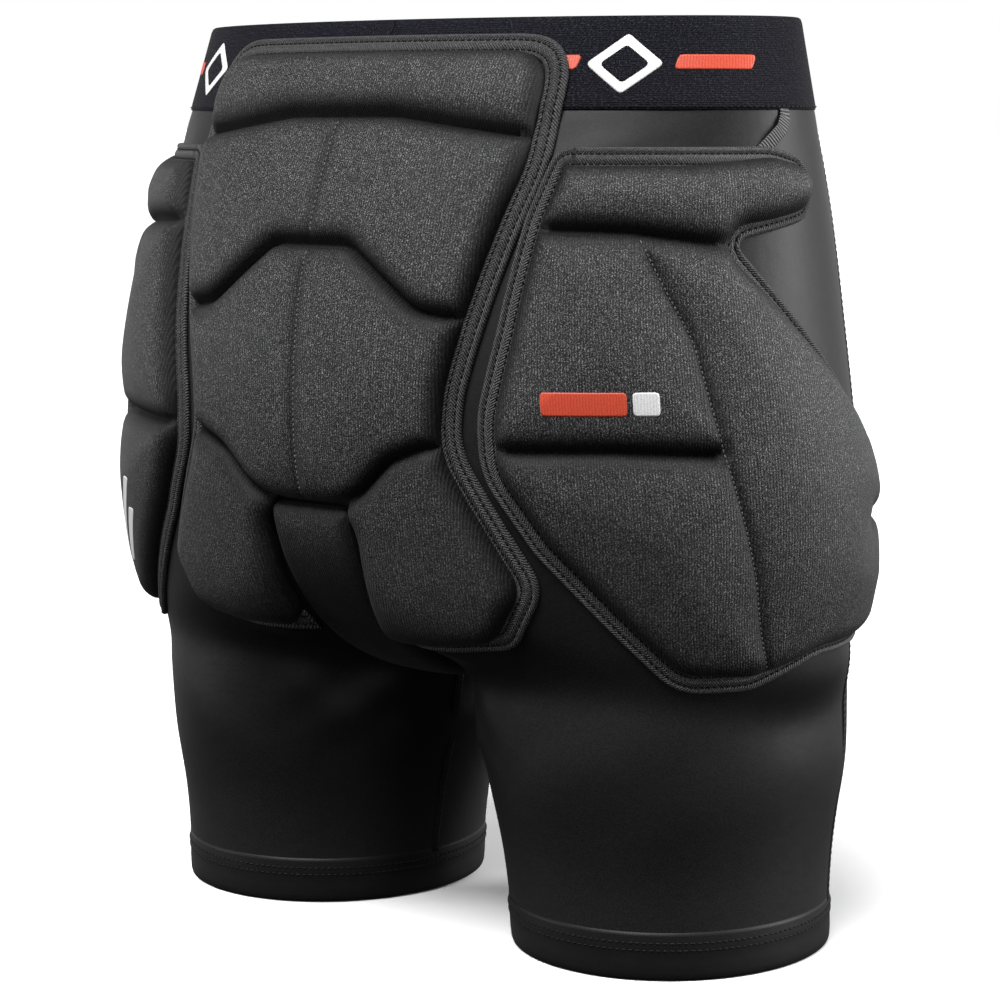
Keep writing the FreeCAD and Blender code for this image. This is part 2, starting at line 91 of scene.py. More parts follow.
# Shell, cuffs and waistband.
SHELL_THICKNESS, SHELL_CELL = 1.2, 4.5
FRONT_SEAM, GUSSET_HALF, GUSSET_FOOT, GUSSET_TOP = 32, 34, 62, 152
CUFF_HEIGHT, CUFF_STEP, CUFF_LAP = 20, 0.6, 1
BAND_FOOT, BAND_TOP, BAND_LAP, BAND_FACE = 398, 440, 3, 1.12
SHELL_FOOT, SHELL_TOP = CUFF_HEIGHT - CUFF_LAP, BAND_FOOT + BAND_LAP
CUFF_STITCHES, BAND_STITCHES, STITCH_PITCH = (14.5, 18), (399.6,), 3.2

# Pads: heights off the form, and the rounding of their edges, pressed channels and sewn seams.
TAIL_HEIGHT, HIP_HEIGHT, TONGUE_HEIGHT = 13.2, 15.1, 8.6
TAIL_CROWN, HIP_CROWN, TONGUE_CROWN, CROWN_REACH = 2.2, 6.5, 2.0, 22
PAD_FOOT, PAD_BACK = 1.8, 0.2
FLAP_LIFT, LIFT_START, LIFT_RUN = 1.3, 392, 8  # the tail flap stands off the waistband
CHANNEL_FLOOR, CHANNEL_RADIUS = 0.26, 7.0
SEAM_FLOOR, SEAM_RADIUS = 0.86, 5.5
PAD_SPACING = 3.0
FOAM_INSET, FRONT_INSET = 8.2, 4.6
TAPE_STITCHES = (3.1, 7.5)
PRINT_LIFT, PRINT_THICKNESS, INLAY_LIFT = 0.16, 0.18, 0.12
PUFF_LIMIT, CLOTH_FRAMES = 2.6, 14
TONGUE_HALF, TONGUE_TOP, TONGUE_TIP = 27, 218, 46
TETHER_HALF, BAND_JOIN_HALF = 3, 6

# Studio: world light by height (the sine of the angle up), spread of the key light in degrees, floor.
WORLD_LIGHT = [(-0.25, 0.05), (-0.08, 1.0), (0.16, 1.0), (0.4, 0.2)]
SUN_SPREAD = 34
FLOOR_HALF, FLOOR_DROP = 60, -0.0004

# Fold lines that the pads' flaps bend on.
HIP_FOLD, HIP_FOLD_HALF, HIP_FOLD_AT = 343, 7, (150, 69)
TAIL_BEND = (GARMENT, "tail_flap", (0, 0, 0.381), (0, 0, 0.397))


# Camera and stage --------------------------------------------------------------------------------------

def place_camera():
    """The view from behind the wearer's right hip, a little below the waist."""
    turn, distance, height, aim = radians(38.1), 1.409, 0.395, 0.204
    data = bpy.data.cameras.new("camera")
    data.lens, data.sensor_width = 101.8, 36
    data.clip_start, data.clip_end = 0.05, 400
    camera = bpy.data.objects.new("camera", data)
    bpy.context.scene.collection.objects.link(camera)
    middle = Vector((0, SHIFT * MM, 0))
    camera.location = middle + Vector((-distance * sin(turn), distance * cos(turn), height))
    look = middle + Vector((0, 0, aim)) - camera.location
    camera.rotation_euler = look.to_track_quat("-Z", "Y").to_euler()
    bpy.context.scene.camera = camera


place_camera()


# Splines and the body form -----------------------------------------------------------------------------

def spline(knots, values):
    """Natural cubic spline as a function of an array, held level past both ends."""
    x, y = np.asarray(knots, float), np.asarray(values, float)
    step, rise = np.diff(x), np.diff(y)
    n = len(x)
    system, right = np.eye(n), np.zeros(n)
    for i in range(1, n - 1):
        system[i, i - 1:i + 2] = step[i - 1], 2 * (step[i - 1] + step[i]), step[i]
        right[i] = 6 * (rise[i] / step[i] - rise[i - 1] / step[i - 1])
    bend = np.linalg.solve(system, right)

    def at(t):
        t = np.clip(t, x[0], x[-1])
        i = np.clip(np.searchsorted(x, t) - 1, 0, n - 2)
        a, b = x[i + 1] - t, t - x[i]
        h = step[i]
        return ((bend[i] * a ** 3 + bend[i + 1] * b ** 3) / (6 * h)
                + (y[i] / h - bend[i] * h / 6) * a + (y[i + 1] / h - bend[i + 1] * h / 6) * b)

    return at


trunk_width, trunk_depth, trunk_behind = (spline(PELVIS[:, 0], PELVIS[:, k]) for k in (1, 2, 3))
leg_width, leg_across, leg_behind = (spline(LEG[:, 0], LEG[:, k]) for k in (1, 2, 3))


def smooth_step(t):
    t = np.clip(t, 0, 1)
    return t * t * (3 - 2 * t)


def smooth_min(a, b, blend):
    share = np.clip(0.5 + 0.5 * (b - a) / blend, 0, 1)
    return b + (a - b) * share - blend * share * (1 - share)


def smooth_max(a, b, blend):
    return -smooth_min(-a, -b, blend)


def unit(vectors):
    """The same directions at length 1."""
    return vectors / (np.linalg.norm(vectors, axis=1, keepdims=True) + 1e-12)


def run_along(path):
    """Length from the start of a path to each of its points."""
    return np.concatenate([[0], np.cumsum(np.linalg.norm(np.diff(path, axis=0), axis=1))])


def ellipse_gap(x, y, width, depth):
    """How far outside an ellipse a point lies, exact near its edge."""
    reach = np.sqrt((x / width) ** 2 + (y / depth) ** 2) + 1e-9
    slope = np.sqrt((x / width ** 2) ** 2 + (y / depth ** 2) ** 2) / reach + 1e-9
    return (reach - 1) / slope


def underside_gap(x, y, z):
    """How far below the seat's underside a point lies. The cheeks stand fuller than the middle."""
    rear = np.maximum(y - REAR_START, 0) / REAR_REACH
    front = np.maximum(FRONT_START - y, 0) / FRONT_REACH
    down = np.maximum(SEAT_TURN - z, 0) / (SEAT_TURN - CROTCH_HEIGHT)
    across = (rear + front) ** UNDERSIDE_POWER
    total = across + down ** UNDERSIDE_POWER + 1e-9
    radius = total ** (1 / UNDERSIDE_POWER)
    cheek = CHEEK_FULLNESS * smooth_step((np.abs(x) - CHEEK_START) / CHEEK_WIDTH) * across / total
    return (radius - 1) * 100 - cheek - 0.6 * np.maximum(z - SEAT_TURN + 12, 0)


def trunk_gap(p):
    x, y, z = p[:, 0], p[:, 1] - SHIFT, p[:, 2]
    body = ellipse_gap(x, y - trunk_behind(z), trunk_width(z), trunk_depth(z))
    return smooth_max(body, underside_gap(x, y, z), 16)


def leg_gap(p, hand):
    """hand is -1 for the wearer's right leg and 1 for the left."""
    z = p[:, 2]
    width = leg_width(z)
    tube = ellipse_gap(p[:, 0] - hand * leg_across(z), p[:, 1] - SHIFT - leg_behind(z),
                       width, width + LEG_EXTRA_DEPTH)
    return smooth_max(tube, z - LEG_LIMIT, 12)


def gap(p):
    legs = np.minimum(leg_gap(p, -1), leg_gap(p, 1))
    return smooth_min(trunk_gap(p), legs, 15)


def normals(p):
    """Directions away from the form, one for each point."""
    step = 0.5
    columns = []
    for axis in range(3):
        move = np.zeros(3)
        move[axis] = step
        columns.append(gap(p + move) - gap(p - move))
    return unit(np.stack(columns, 1))


def to_skin(p, rounds=3):
    """The points of the form nearest to p."""
    for _ in range(rounds):
        p = p - normals(p) * gap(p)[:, None]
    return p


def along_rays(start, direction, reach=300, step=6):
    """Where each ray, followed inwards from start, first meets the form."""
    low = np.zeros(len(start))
    high = np.full(len(start), float(reach))
    open_ray = np.ones(len(start), bool)
    for t in np.arange(step, reach, step):
        inside = open_ray & (gap(start + direction * t) < 0)
        high[inside], low[inside] = t, t - step
        open_ray &= ~inside
    for _ in range(12):
        middle = (low + high) / 2
        inside = gap(start + direction * middle[:, None]) < 0
        high = np.where(inside, middle, high)
        low = np.where(inside, low, middle)
    return start + direction * high[:, None]


# Mesh tools --------------------------------------------------------------------------------------------

def make_object(name, vertices, faces, material, closed=True, uv=None, shade=None):
    """Mesh object from millimetres. uv holds a fabric coordinate for each vertex, in metres.

    shade is a number from 0 to 1 for each vertex, painted shade that darkens the colour where it is low.
    """
    mesh = bpy.data.meshes.new(name)
    mesh.from_pydata((np.asarray(vertices) * MM).tolist(), [], [tuple(map(int, f)) for f in faces])
    mesh.update()
    mesh.validate()
    if closed:
        turn_out(mesh)
    mesh.shade_smooth()
    if uv is not None:
        layer = mesh.uv_layers.new(name="fabric")
        loops = np.zeros(len(mesh.loops), int)
        mesh.loops.foreach_get("vertex_index", loops)
        layer.data.foreach_set("uv", np.asarray(uv, np.float32)[loops].ravel())
    if shade is not None:
        layer = mesh.attributes.new("shade", "FLOAT", "POINT")
        layer.data.foreach_set("value", np.asarray(shade, np.float32))
    mesh.materials.append(material)
    item = bpy.data.objects.new(name, mesh)
    bpy.context.scene.collection.objects.link(item)
    return item


def turn_out(mesh):
    """Make the faces of a closed mesh face outwards."""
    mesh.calc_loop_triangles()
    corners = np.zeros(len(mesh.loop_triangles) * 3, int)
    mesh.loop_triangles.foreach_get("vertices", corners)
    places = np.zeros(len(mesh.vertices) * 3)
    mesh.vertices.foreach_get("co", places)
    a, b, c = (places.reshape(-1, 3)[corners[k::3]] for k in range(3))
    if np.sum(a * np.cross(b, c)) < 0:
        mesh.flip_normals()


def facing(vertices, triangles, away):
    """The triangles of an open sheet, turned if need be to face the way that away points."""
    a, b, c = (vertices[np.array(triangles)[:, k]] for k in range(3))
    share = np.sum(np.cross(b - a, c - a) * away[np.array(triangles)[:, 0]])
    return triangles if share > 0 else [tuple(reversed(f)) for f in triangles]


def boundary_edges(faces):
    """Directed edges that only one face uses."""
    seen = {}
    for face in faces:
        for i, a in enumerate(face):
            b = face[(i + 1) % len(face)]
            seen[(a, b)] = True
    return [(a, b) for a, b in seen if (b, a) not in seen]


def closed_sheet(outer, inner, faces):
    """Vertices and faces of a closed skin: an outer sheet, the same sheet inside, and a rim between."""
    count = len(outer)
    back = [tuple(v + count for v in reversed(face)) for face in faces]
    rim = [(b, a, a + count, b + count) for a, b in boundary_edges(faces)]
    return np.vstack([outer, inner]), list(map(tuple, faces)) + back + rim


def joined(parts):
    """Several (vertices, faces) as one."""
    vertices, faces, start = [], [], 0
    for v, f in parts:
        vertices.append(v)
        faces.extend(tuple(i + start for i in face) for face in f)
        start += len(v)
    return np.vstack(vertices), faces


# Body mesh ---------------------------------------------------------------------------------------------

def surface_net(low, high, cell):
    """Quads on the surface where gap() is nought, one vertex for each grid cell that it crosses."""
    axes = [np.arange(a, b + cell, cell) for a, b in zip(low, high)]
    shape = tuple(len(a) for a in axes)
    grid = np.stack(np.meshgrid(*axes, indexing="ij"), -1).reshape(-1, 3)
    inside = (gap(grid) < 0).reshape(shape)
    corners = sum(inside[i:shape[0] - 1 + i, j:shape[1] - 1 + j, k:shape[2] - 1 + k].astype(int)
                  for i in (0, 1) for j in (0, 1) for k in (0, 1))
    active = (corners > 0) & (corners < 8)
    index = np.full(active.shape, -1)
    index[active] = np.arange(active.sum())
    cells = np.argwhere(active)
    vertices = np.stack([axes[i][cells[:, i]] + cell / 2 for i in range(3)], 1)
    faces = []
    for axis in range(3):
        ahead = np.moveaxis(inside, axis, 0)
        crossing = np.moveaxis(ahead[1:] != ahead[:-1], 0, axis)
        place = np.argwhere(crossing)
        b, c = [i for i in range(3) if i != axis]
        inner = (place[:, b] > 0) & (place[:, c] > 0)
        inner &= (place[:, b] < shape[b] - 1) & (place[:, c] < shape[c] - 1)
        place = place[inner]
        outwards = inside[tuple(place.T)]
        quad = []
        for db, dc in ((1, 1), (0, 1), (0, 0), (1, 0)):
            at = place.copy()
            at[:, b] -= db
            at[:, c] -= dc
            quad.append(index[tuple(at.T)])
        quad = np.stack(quad, 1)
        flip = outwards == (axis == 1)
        quad[flip] = quad[flip][:, ::-1]
        faces.append(quad)
    return vertices, np.vstack(faces)


def shell_surface():
    """The whole shell's outer surface, evened out and drawn onto the form."""
    vertices, faces = surface_net((-216, -160, -12), (216, 130, BAND_TOP + 8), SHELL_CELL)
    vertices = to_skin(vertices, 6)
    for _ in range(4):
        total = np.zeros_like(vertices)
        count = np.zeros(len(vertices))
        for k in range(4):
            a, b = faces[:, k], faces[:, (k + 1) % 4]
            np.add.at(total, a, vertices[b])
            np.add.at(total, b, vertices[a])
            np.add.at(count, a, 1)
            np.add.at(count, b, 1)
        vertices = to_skin((vertices + total / count[:, None]) / 2, 2)
    return vertices, faces


def bisected(vertices, faces, planes):
    """The mesh with an edge laid along each plane, given as (axis, place)."""
    mesh = bpy.data.meshes.new("bisected")
    mesh.from_pydata(vertices.tolist(), [], faces.tolist())
    work = bmesh.new()
    work.from_mesh(mesh)
    for axis, place in planes:
        point, normal = Vector((0, 0, 0)), Vector((0, 0, 0))
        point[axis], normal[axis] = place, 1
        everything = work.verts[:] + work.edges[:] + work.faces[:]
        bmesh.ops.bisect_plane(work, geom=everything, dist=0.02, plane_co=point, plane_no=normal)
    work.verts.index_update()
    vertices = np.array([v.co for v in work.verts])
    faces = [tuple(v.index for v in f.verts) for f in work.faces]
    work.free()
    bpy.data.meshes.remove(mesh)
    return vertices, faces


def chosen(vertices, faces, keep):
    """The faces that keep says yes to, with only their own vertices."""
    faces = [f for f, wanted in zip(faces, keep) if wanted]
    used = sorted({v for f in faces for v in f})
    place = {v: i for i, v in enumerate(used)}
    return vertices[used], [tuple(place[v] for v in f) for f in faces]


def creases(p):
    """Small folds where the legs meet, on the thighs and under the waistband, in millimetres outwards."""
    x, y, z = np.abs(p[:, 0]), p[:, 1], p[:, 2]
    groin = np.exp(-((z - 112) / 26) ** 2) * np.exp(-((x - 30) / 34) ** 2)
    folds = groin * (0.9 * np.sin((z + 0.9 * x) / 5.2) + 0.5 * np.sin((z * 0.6 - x + 0.3 * y) / 3.7))
    thigh = np.exp(-((z - 105) / 38) ** 2)
    folds += thigh * (0.35 * np.sin((z - 0.7 * x) / 9) + 0.25 * np.sin((0.4 * z + x) / 13 + y / 30))
    waist = np.exp(-((z - 388) / 14) ** 2)
    folds += waist * (0.16 * np.sin((z + 0.5 * p[:, 0]) / 4.1) + 0.14 * np.sin((z - 0.35 * x + y) / 6.3))
    return folds


def around(p):
    """Fabric coordinates of points on the shell, in metres: round the body and up."""
    turn = np.arctan2(p[:, 0], -p[:, 1])
    return np.stack([turn * 0.165, p[:, 2] * MM], 1)


def make_shell():
    vertices, faces = shell_surface()
    planes = [(0, 0), (1, SHIFT - FRONT_SEAM), (0, GUSSET_HALF), (0, -GUSSET_HALF), (2, GUSSET_TOP),
              (2, GUSSET_FOOT), (2, SHELL_TOP), (2, SHELL_FOOT)]
    vertices, faces = bisected(vertices, faces, planes)
    middle = np.array([vertices[list(f)].mean(0) for f in faces])
    x, y, z = middle.T
    shown = (z < SHELL_TOP) & (z > SHELL_FOOT)
    gusset = shown & (np.abs(x) < GUSSET_HALF) & (z < GUSSET_TOP) & (z > GUSSET_FOOT)
    rear, right = y > SHIFT - FRONT_SEAM, x < 0
    panels = {
        "back_panel_right": shown & ~gusset & rear & right,
        "back_panel_left": shown & ~gusset & rear & ~right,
        "front_panel_right": shown & ~gusset & ~rear & right,
        "front_panel_left": shown & ~gusset & ~rear & ~right,
        "crotch_gusset": gusset,
    }
    for node, keep in panels.items():
        outer, own = chosen(vertices, faces, keep)
        away = normals(outer)
        outer = outer + away * creases(outer)[:, None]
        skin = closed_sheet(outer, outer - away * SHELL_THICKNESS, own)
        # painted shade, darker on faces that turn down
        piece = make_object("shell_" + node, *skin, MATERIALS["shell"], uv=around(skin[0]),
                            shade=np.tile(painted_underside_shade(away), 2))
        piece.data.set_sharp_from_angle(angle=radians(50))
        finish_piece(piece, [node])


def painted_underside_shade(away):
    """Painted shade: 1 where cloth faces up or out, less where it faces down, away from the light above."""
    return smooth_step((away[:, 2] + 0.62) / 0.8)


def finish_piece(piece, nodes=(), bend=None, rides=GARMENT):
    """Hide the CAD nodes that the piece stands for, then attach it to the body that it rides, or, when bend
    is given, only bake its place into its mesh.
    """
    if nodes:
        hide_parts(*nodes)
    if bend:
        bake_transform(piece)
    else:
        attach(piece, rides)


# Rings: cuffs and waistband ----------------------------------------------------------------------------

def filled(profile, step):
    """A closed loop of (height, grow) pairs with no run longer than step."""
    rows = []
    for (z, g), (z2, g2) in zip(profile, profile[1:] + profile[:1]):
        count = max(1, ceil(abs(z2 - z) / step))
        rows += [(z + (z2 - z) * i / count, g + (g2 - g) * i / count) for i in range(count)]
    return rows


def ring(section, profile, count):
    """A closed band: each row of the profile goes once round the section, an ellipse given by height."""
    turn = np.linspace(0, 2 * pi, count, endpoint=False)
    rows, spots = [], []
    along = 0
    for i, (z, grow) in enumerate(profile):
        x, y, width, depth = section(z)
        rows.append(np.stack([x + (width + grow) * np.cos(turn), y + (depth + grow) * np.sin(turn),
                              np.full(count, z)], 1))
        along += abs(z - profile[i - 1][0]) if i else 0
        spots.append(np.stack([turn * (width + depth) / 2 * MM, np.full(count, along * MM)], 1))
    faces = []
    for i in range(len(profile)):
        j = (i + 1) % len(profile)
        for k in range(count):
            m = (k + 1) % count
            faces.append((i * count + k, j * count + k, j * count + m, i * count + m))
    return np.vstack(rows), faces, np.vstack(spots)


def trunk_section(z):
    at = np.array([float(z)])
    return 0, SHIFT + trunk_behind(at)[0], trunk_width(at)[0], trunk_depth(at)[0]


def leg_section(z, hand):
    at = np.array([float(z)])
    width = leg_width(at)[0]
    return hand * leg_across(at)[0], SHIFT + leg_behind(at)[0], width, width + LEG_EXTRA_DEPTH


def ring_row(section, z, grow, pitch):
    """Evenly spaced points round a section, and their outward directions."""
    x, y, width, depth = section(z)
    turn = np.linspace(0, 2 * pi, 721)
    curve = np.stack([x + (width + grow) * np.cos(turn), y + (depth + grow) * np.sin(turn),
                      np.full(721, float(z))], 1)
    points = resampled(curve, pitch)
    away = np.stack([(points[:, 0] - x) / width ** 2, (points[:, 1] - y) / depth ** 2,
                     np.zeros(len(points))], 1)
    return points, unit(away)


def make_cuffs():
    step = CUFF_STEP
    profile = [(23, -1.0), (23, 0.02), (19, step * 0.7), (16, step + 0.1), (12, step), (6, step + 0.15),
               (1.6, step), (0.4, 0.2), (0, -0.3), (0.4, -1.0), (4, -1.3), (12, -1.3)]
    for hand, side in HANDS:
        section = partial(leg_section, hand=hand)
        vertices, faces, uv = ring(section, filled(profile, 3), 220)
        piece = make_object("cuff_" + side, vertices, faces, MATERIALS["shell"], uv=uv)
        finish_piece(piece, ["leg_cuff_" + side])
        rows = [ring_row(section, z, step + 0.1, STITCH_PITCH) for z in CUFF_STITCHES]
        thread = make_stitches("cuff_stitches_" + side, rows)
        finish_piece(thread)


def make_waistband():
    profile = [(398, -0.4), (398.2, 0.6), (399.4, 1.0), (419, 1.0), (437.5, 0.9), (439.4, 0.5), (440, -0.4),
               (439.5, -1.4), (437, -1.8), (419, -1.8), (400, -1.8), (398.4, -1.4)]
    vertices, faces, uv = ring(trunk_section, filled(profile, 5), 300)
    piece = make_object("waistband_elastic", vertices, faces, MATERIALS["band"], uv=uv)
    finish_piece(piece, ["waistband"])
    rows = [ring_row(trunk_section, z, 1.1, STITCH_PITCH) for z in BAND_STITCHES]
    finish_piece(make_stitches("waistband_stitches", rows))


# Curves in a pad's own plane ---------------------------------------------------------------------------

def rounded(corners, closed=True, pitch=2.2):
    """Points along straight runs joined by tangent arcs. corners are (u, v, radius)."""
    corners = [tuple(map(float, c)) + ((0.0,) if len(c) == 2 else ()) for c in corners]
    count = len(corners)
    path = []
    for i, (u, v, radius) in enumerate(corners):
        here = np.array((u, v))
        if radius == 0 or (not closed and i in (0, count - 1)):
            path.append(here)
            continue
        back = np.array(corners[i - 1][:2]) - here
        ahead = np.array(corners[(i + 1) % count][:2]) - here
        back_run, ahead_run = np.linalg.norm(back), np.linalg.norm(ahead)
        back, ahead = back / back_run, ahead / ahead_run
        half = np.linalg.norm(back + ahead) / 2
        turn = half / (1 - half * half) ** 0.5
        reach = min(radius * turn, back_run * 0.49, ahead_run * 0.49)
        start, end = here + back * reach, here + ahead * reach
        for t in np.linspace(0, 1, 9):
            path.append((1 - t) ** 2 * start + 2 * t * (1 - t) * here + t * t * end)
    if closed:
        path.append(path[0])
    points = resampled(np.array(path), pitch)
    return points[:-1] if closed else points


def resampled(path, pitch):
    """The same path with evenly spaced points, both ends kept."""
    run = run_along(path)
    count = max(2, int(round(run[-1] / pitch)) + 1)
    at = np.linspace(0, run[-1], count)
    return np.stack([np.interp(at, run, path[:, k]) for k in range(path.shape[1])], 1)


def sideways(path, closed):
    """Unit directions to the left of a path in its plane."""
    if closed:
        along = np.roll(path, -1, 0) - np.roll(path, 1, 0)
    else:
        along = np.gradient(path, axis=0)
    along = unit(along)
    return np.stack([-along[:, 1], along[:, 0]], 1)


def distance(points, path, closed=False):
    """How far each point is from the nearest part of a path."""
    ends = np.vstack([path[1:], path[:1]]) if closed else path[1:]
    starts = path if closed else path[:-1]
    best = np.full(len(points), 1e9)
    for a, b in zip(starts, ends):
        ab = b - a
        t = np.clip(((points - a) @ ab) / (ab @ ab + 1e-12), 0, 1)
        best = np.minimum(best, np.linalg.norm(points - a - t[:, None] * ab, axis=1))
    return best


def inside_loop(points, loop):
    x, y = points.T
    inside = np.zeros(len(points), bool)
    for (x1, y1), (x2, y2) in zip(loop, np.roll(loop, -1, 0)):
        crossing = (y1 > y) != (y2 > y)
        reach = (x2 - x1) * (y - y1) / (y2 - y1 + 1e-12) + x1
        inside ^= crossing & (x < reach)
    return inside


def roll(t):
    """Quarter round: 0 at the edge, 1 from t = 1 inwards."""
    t = np.clip(t, 0, 1)
    return np.sqrt(1 - (1 - t) ** 2)


def net_inside(loop, lines, spacing):
    """Triangles that fill a loop, with rows of points close together along its edge and along lines."""
    near = 6.4
    kept = [loop]
    curves = [(loop, True)] + [(line, False) for line in lines]
    for k, (path, closed) in enumerate(curves):
        side = sideways(path, closed)
        offsets = (0.7, 1.7, 3.1, 4.8) if closed else (0, 1, -1, 2.2, -2.2, 3.7, -3.7, 5.4, -5.4)
        for offset in offsets:
            row = path + side * offset
            row = row[inside_loop(row, loop)]
            row = row[distance(row, path, closed) > abs(offset) - 0.25]
            for j in range(k):
                row = row[distance(row, *curves[j]) > (near if offset else 1.3)]
            kept.append(row)
    low, high = loop.min(0), loop.max(0)
    across = np.arange(low[0], high[0], spacing)
    up = np.arange(low[1], high[1], spacing * 0.866)
    u, v = np.meshgrid(across, up)
    u = u + (np.arange(len(up)) % 2)[:, None] * spacing / 2
    fill = np.stack([u.ravel(), v.ravel()], 1)
    fill = fill[inside_loop(fill, loop)]
    for path, closed in curves:
        fill = fill[distance(fill, path, closed) > near]
    points = np.vstack(kept + [fill])
    ring_ids = list(range(len(loop)))
    found = delaunay_2d_cdt([Vector(p) for p in points], [], [ring_ids], 1, 1e-4)
    return np.array([tuple(p) for p in found[0]]), [tuple(f) for f in found[2]]


# Pads --------------------------------------------------------------------------------------------------

def seat_skin(uv):
    """Points of the form behind (across, height), and their outward directions."""
    start = np.stack([uv[:, 0], np.full(len(uv), 180.0), uv[:, 1]], 1)
    skin = along_rays(start, np.array([0.0, -1.0, 0.0]), reach=330)
    return skin, normals(skin)


def arc_table(section):
    """Arc length round one level ellipse, from the side of the hip, and the turn that goes with it."""
    _, width, depth, _ = section
    turn = np.linspace(-pi / 2, pi / 2, 1201)
    pace = np.hypot(width * np.sin(turn), depth * np.cos(turn))
    run = np.concatenate([[0], np.cumsum((pace[1:] + pace[:-1]) / 2 * np.diff(turn))])
    return run - run[600], turn


ARC_RUN, ARC_TURN = arc_table(PELVIS[4])
BAND_RUN, BAND_TURN = arc_table(PELVIS[8])


def hip_skin(uv, hand):
    """Points of the form at (distance behind the side, height) on one hip, and their directions."""
    turn, z = np.interp(uv[:, 0], ARC_RUN, ARC_TURN), uv[:, 1]
    p = np.stack([hand * trunk_width(z) * np.cos(turn),
                  SHIFT + trunk_behind(z) + trunk_depth(z) * np.sin(turn), z], 1)
    skin = to_skin(p, 4)
    return skin, normals(skin)


def flap_lift(uv):
    """How far the tail flap stands further off the form, to clear the waistband."""
    return FLAP_LIFT * smooth_step((uv[:, 1] - LIFT_START) / LIFT_RUN)


class Pad:
    """A moulded pad: its place on the form, its padded outline, and the lines pressed or sewn into it."""

    def __init__(self, skin, outline, height, crown, edge_radius, channels, seams=()):
        self.skin, self.outline = skin, outline
        self.top, self.crown, self.edge_radius = height, crown, edge_radius
        self.channels, self.seams = channels, list(seams)

    def height(self, uv):
        """How far the cover stands off the form."""
        edge = distance(uv, self.outline, True)
        rise = roll(edge / self.edge_radius)
        nearest = edge
        for line in self.channels:
            gap_here = distance(uv, line)
            nearest = np.minimum(nearest, gap_here)
            rise = rise * (CHANNEL_FLOOR + (1 - CHANNEL_FLOOR) * roll((gap_here - 0.9) / CHANNEL_RADIUS))
        for line in self.seams:
            gap_here = distance(uv, line)
            nearest = np.minimum(nearest, gap_here + 6)
            rise = rise * (SEAM_FLOOR + (1 - SEAM_FLOOR) * roll((gap_here - 0.2) / SEAM_RADIUS))
        crown = self.crown * (1 - np.exp(-nearest / CROWN_REACH))
        return PAD_FOOT + (self.top - self.crown - PAD_FOOT + crown) * rise

    def shade(self, uv):
        """Painted shade: 1 on the crowns of the cells, falling to 0 down their walls and along the channels.
        """
        near = distance(uv, self.outline, True) * 1.3
        for line in self.channels:
            near = np.minimum(near, distance(uv, line))
        for line in self.seams:
            near = np.minimum(near, distance(uv, line) + 5)
        return smooth_step((near - 1) / 11)

    def place(self, uv, extra=0.0):
        """Places on the cover, or a little above it, and their outward directions."""
        skin, away = self.skin(uv)
        return skin + away * (self.height(uv) + flap_lift(uv) + extra)[:, None], away


def make_pad(name, pad, nodes, bend=None):
    """A closed pad: the cover, blown up by the cloth simulation, and the backing against the shell."""
    uv, faces = net_inside(pad.outline, pad.channels + pad.seams, PAD_SPACING)
    outer, away = pad.place(uv)
    inner = pad.skin(uv)[0] + away * (PAD_BACK + flap_lift(uv))[:, None]
    outer = puffed(name, outer, facing(outer, faces, away), uv, pad)
    vertices, faces = closed_sheet(outer, inner, faces)
    # painted shade: darker down the cells' walls, along the channels and on faces that turn down
    piece = make_object(name, vertices, faces, MATERIALS["cover"], uv=np.vstack([uv, uv]) * MM,
                        shade=np.tile(pad.shade(uv) * painted_underside_shade(away), 2))
    piece.data.set_sharp_from_angle(angle=radians(60))
    finish_piece(piece, nodes, bend)


def puffed(name, outer, faces, uv, pad):
    """The cover blown up a little by cloth simulation, held along its edge, channels and seams."""
    piece = make_object(name + "_cloth", outer, faces, MATERIALS["cover"], closed=False)
    held = distance(uv, pad.outline, True)
    for line in pad.channels + pad.seams:
        held = np.minimum(held, distance(uv, line))
    group = piece.vertex_groups.new(name="held")
    for i, near in enumerate(held):
        group.add([i], float(np.clip(1.15 - near / 9, 0, 1)), "REPLACE")
    cloth = piece.modifiers.new("cloth", "CLOTH")
    cloth.settings.quality = 4
    cloth.settings.mass = 0.2
    cloth.settings.tension_stiffness = 12
    cloth.settings.compression_stiffness = 12
    cloth.settings.shear_stiffness = 5
    cloth.settings.bending_stiffness = 0.4
    cloth.settings.use_pressure = True
    cloth.settings.uniform_pressure_force = 4
    cloth.settings.vertex_group_mass = "held"
    cloth.settings.pin_stiffness = 1
    cloth.settings.effector_weights.gravity = 0
    cloth.point_cache.frame_start, cloth.point_cache.frame_end = 1, CLOTH_FRAMES
    scene = bpy.context.scene
    for number in range(1, CLOTH_FRAMES + 1):
        scene.frame_set(number)
    shaped = piece.evaluated_get(bpy.context.evaluated_depsgraph_get()).to_mesh()
    moved = np.zeros(len(shaped.vertices) * 3)
    shaped.vertices.foreach_get("co", moved)
    moved = moved.reshape(-1, 3) / MM - outer
    piece.to_mesh_clear()
    scene.frame_set(1)
    bpy.data.objects.remove(piece)
    length = np.linalg.norm(moved, axis=1, keepdims=True)
    moved = moved * np.minimum(length, PUFF_LIMIT) / np.maximum(length, 1e-9)
    return outer + evened(moved, faces, 8)


def evened(values, faces, rounds):
    """Each vertex's value drawn towards the mean of its neighbours', to ease out small buckles."""
    corners = np.array(faces)
    count = np.zeros(len(values))
    for k in range(3):
        np.add.at(count, corners[:, k], 2)
    for _ in range(rounds):
        total = np.zeros_like(values)
        for k in range(3):
            np.add.at(total, corners[:, k], values[corners[:, k - 1]] + values[corners[:, k - 2]])
        values = (values + total / count[:, None]) / 2
    return values


# Binding tape and thread -------------------------------------------------------------------------------

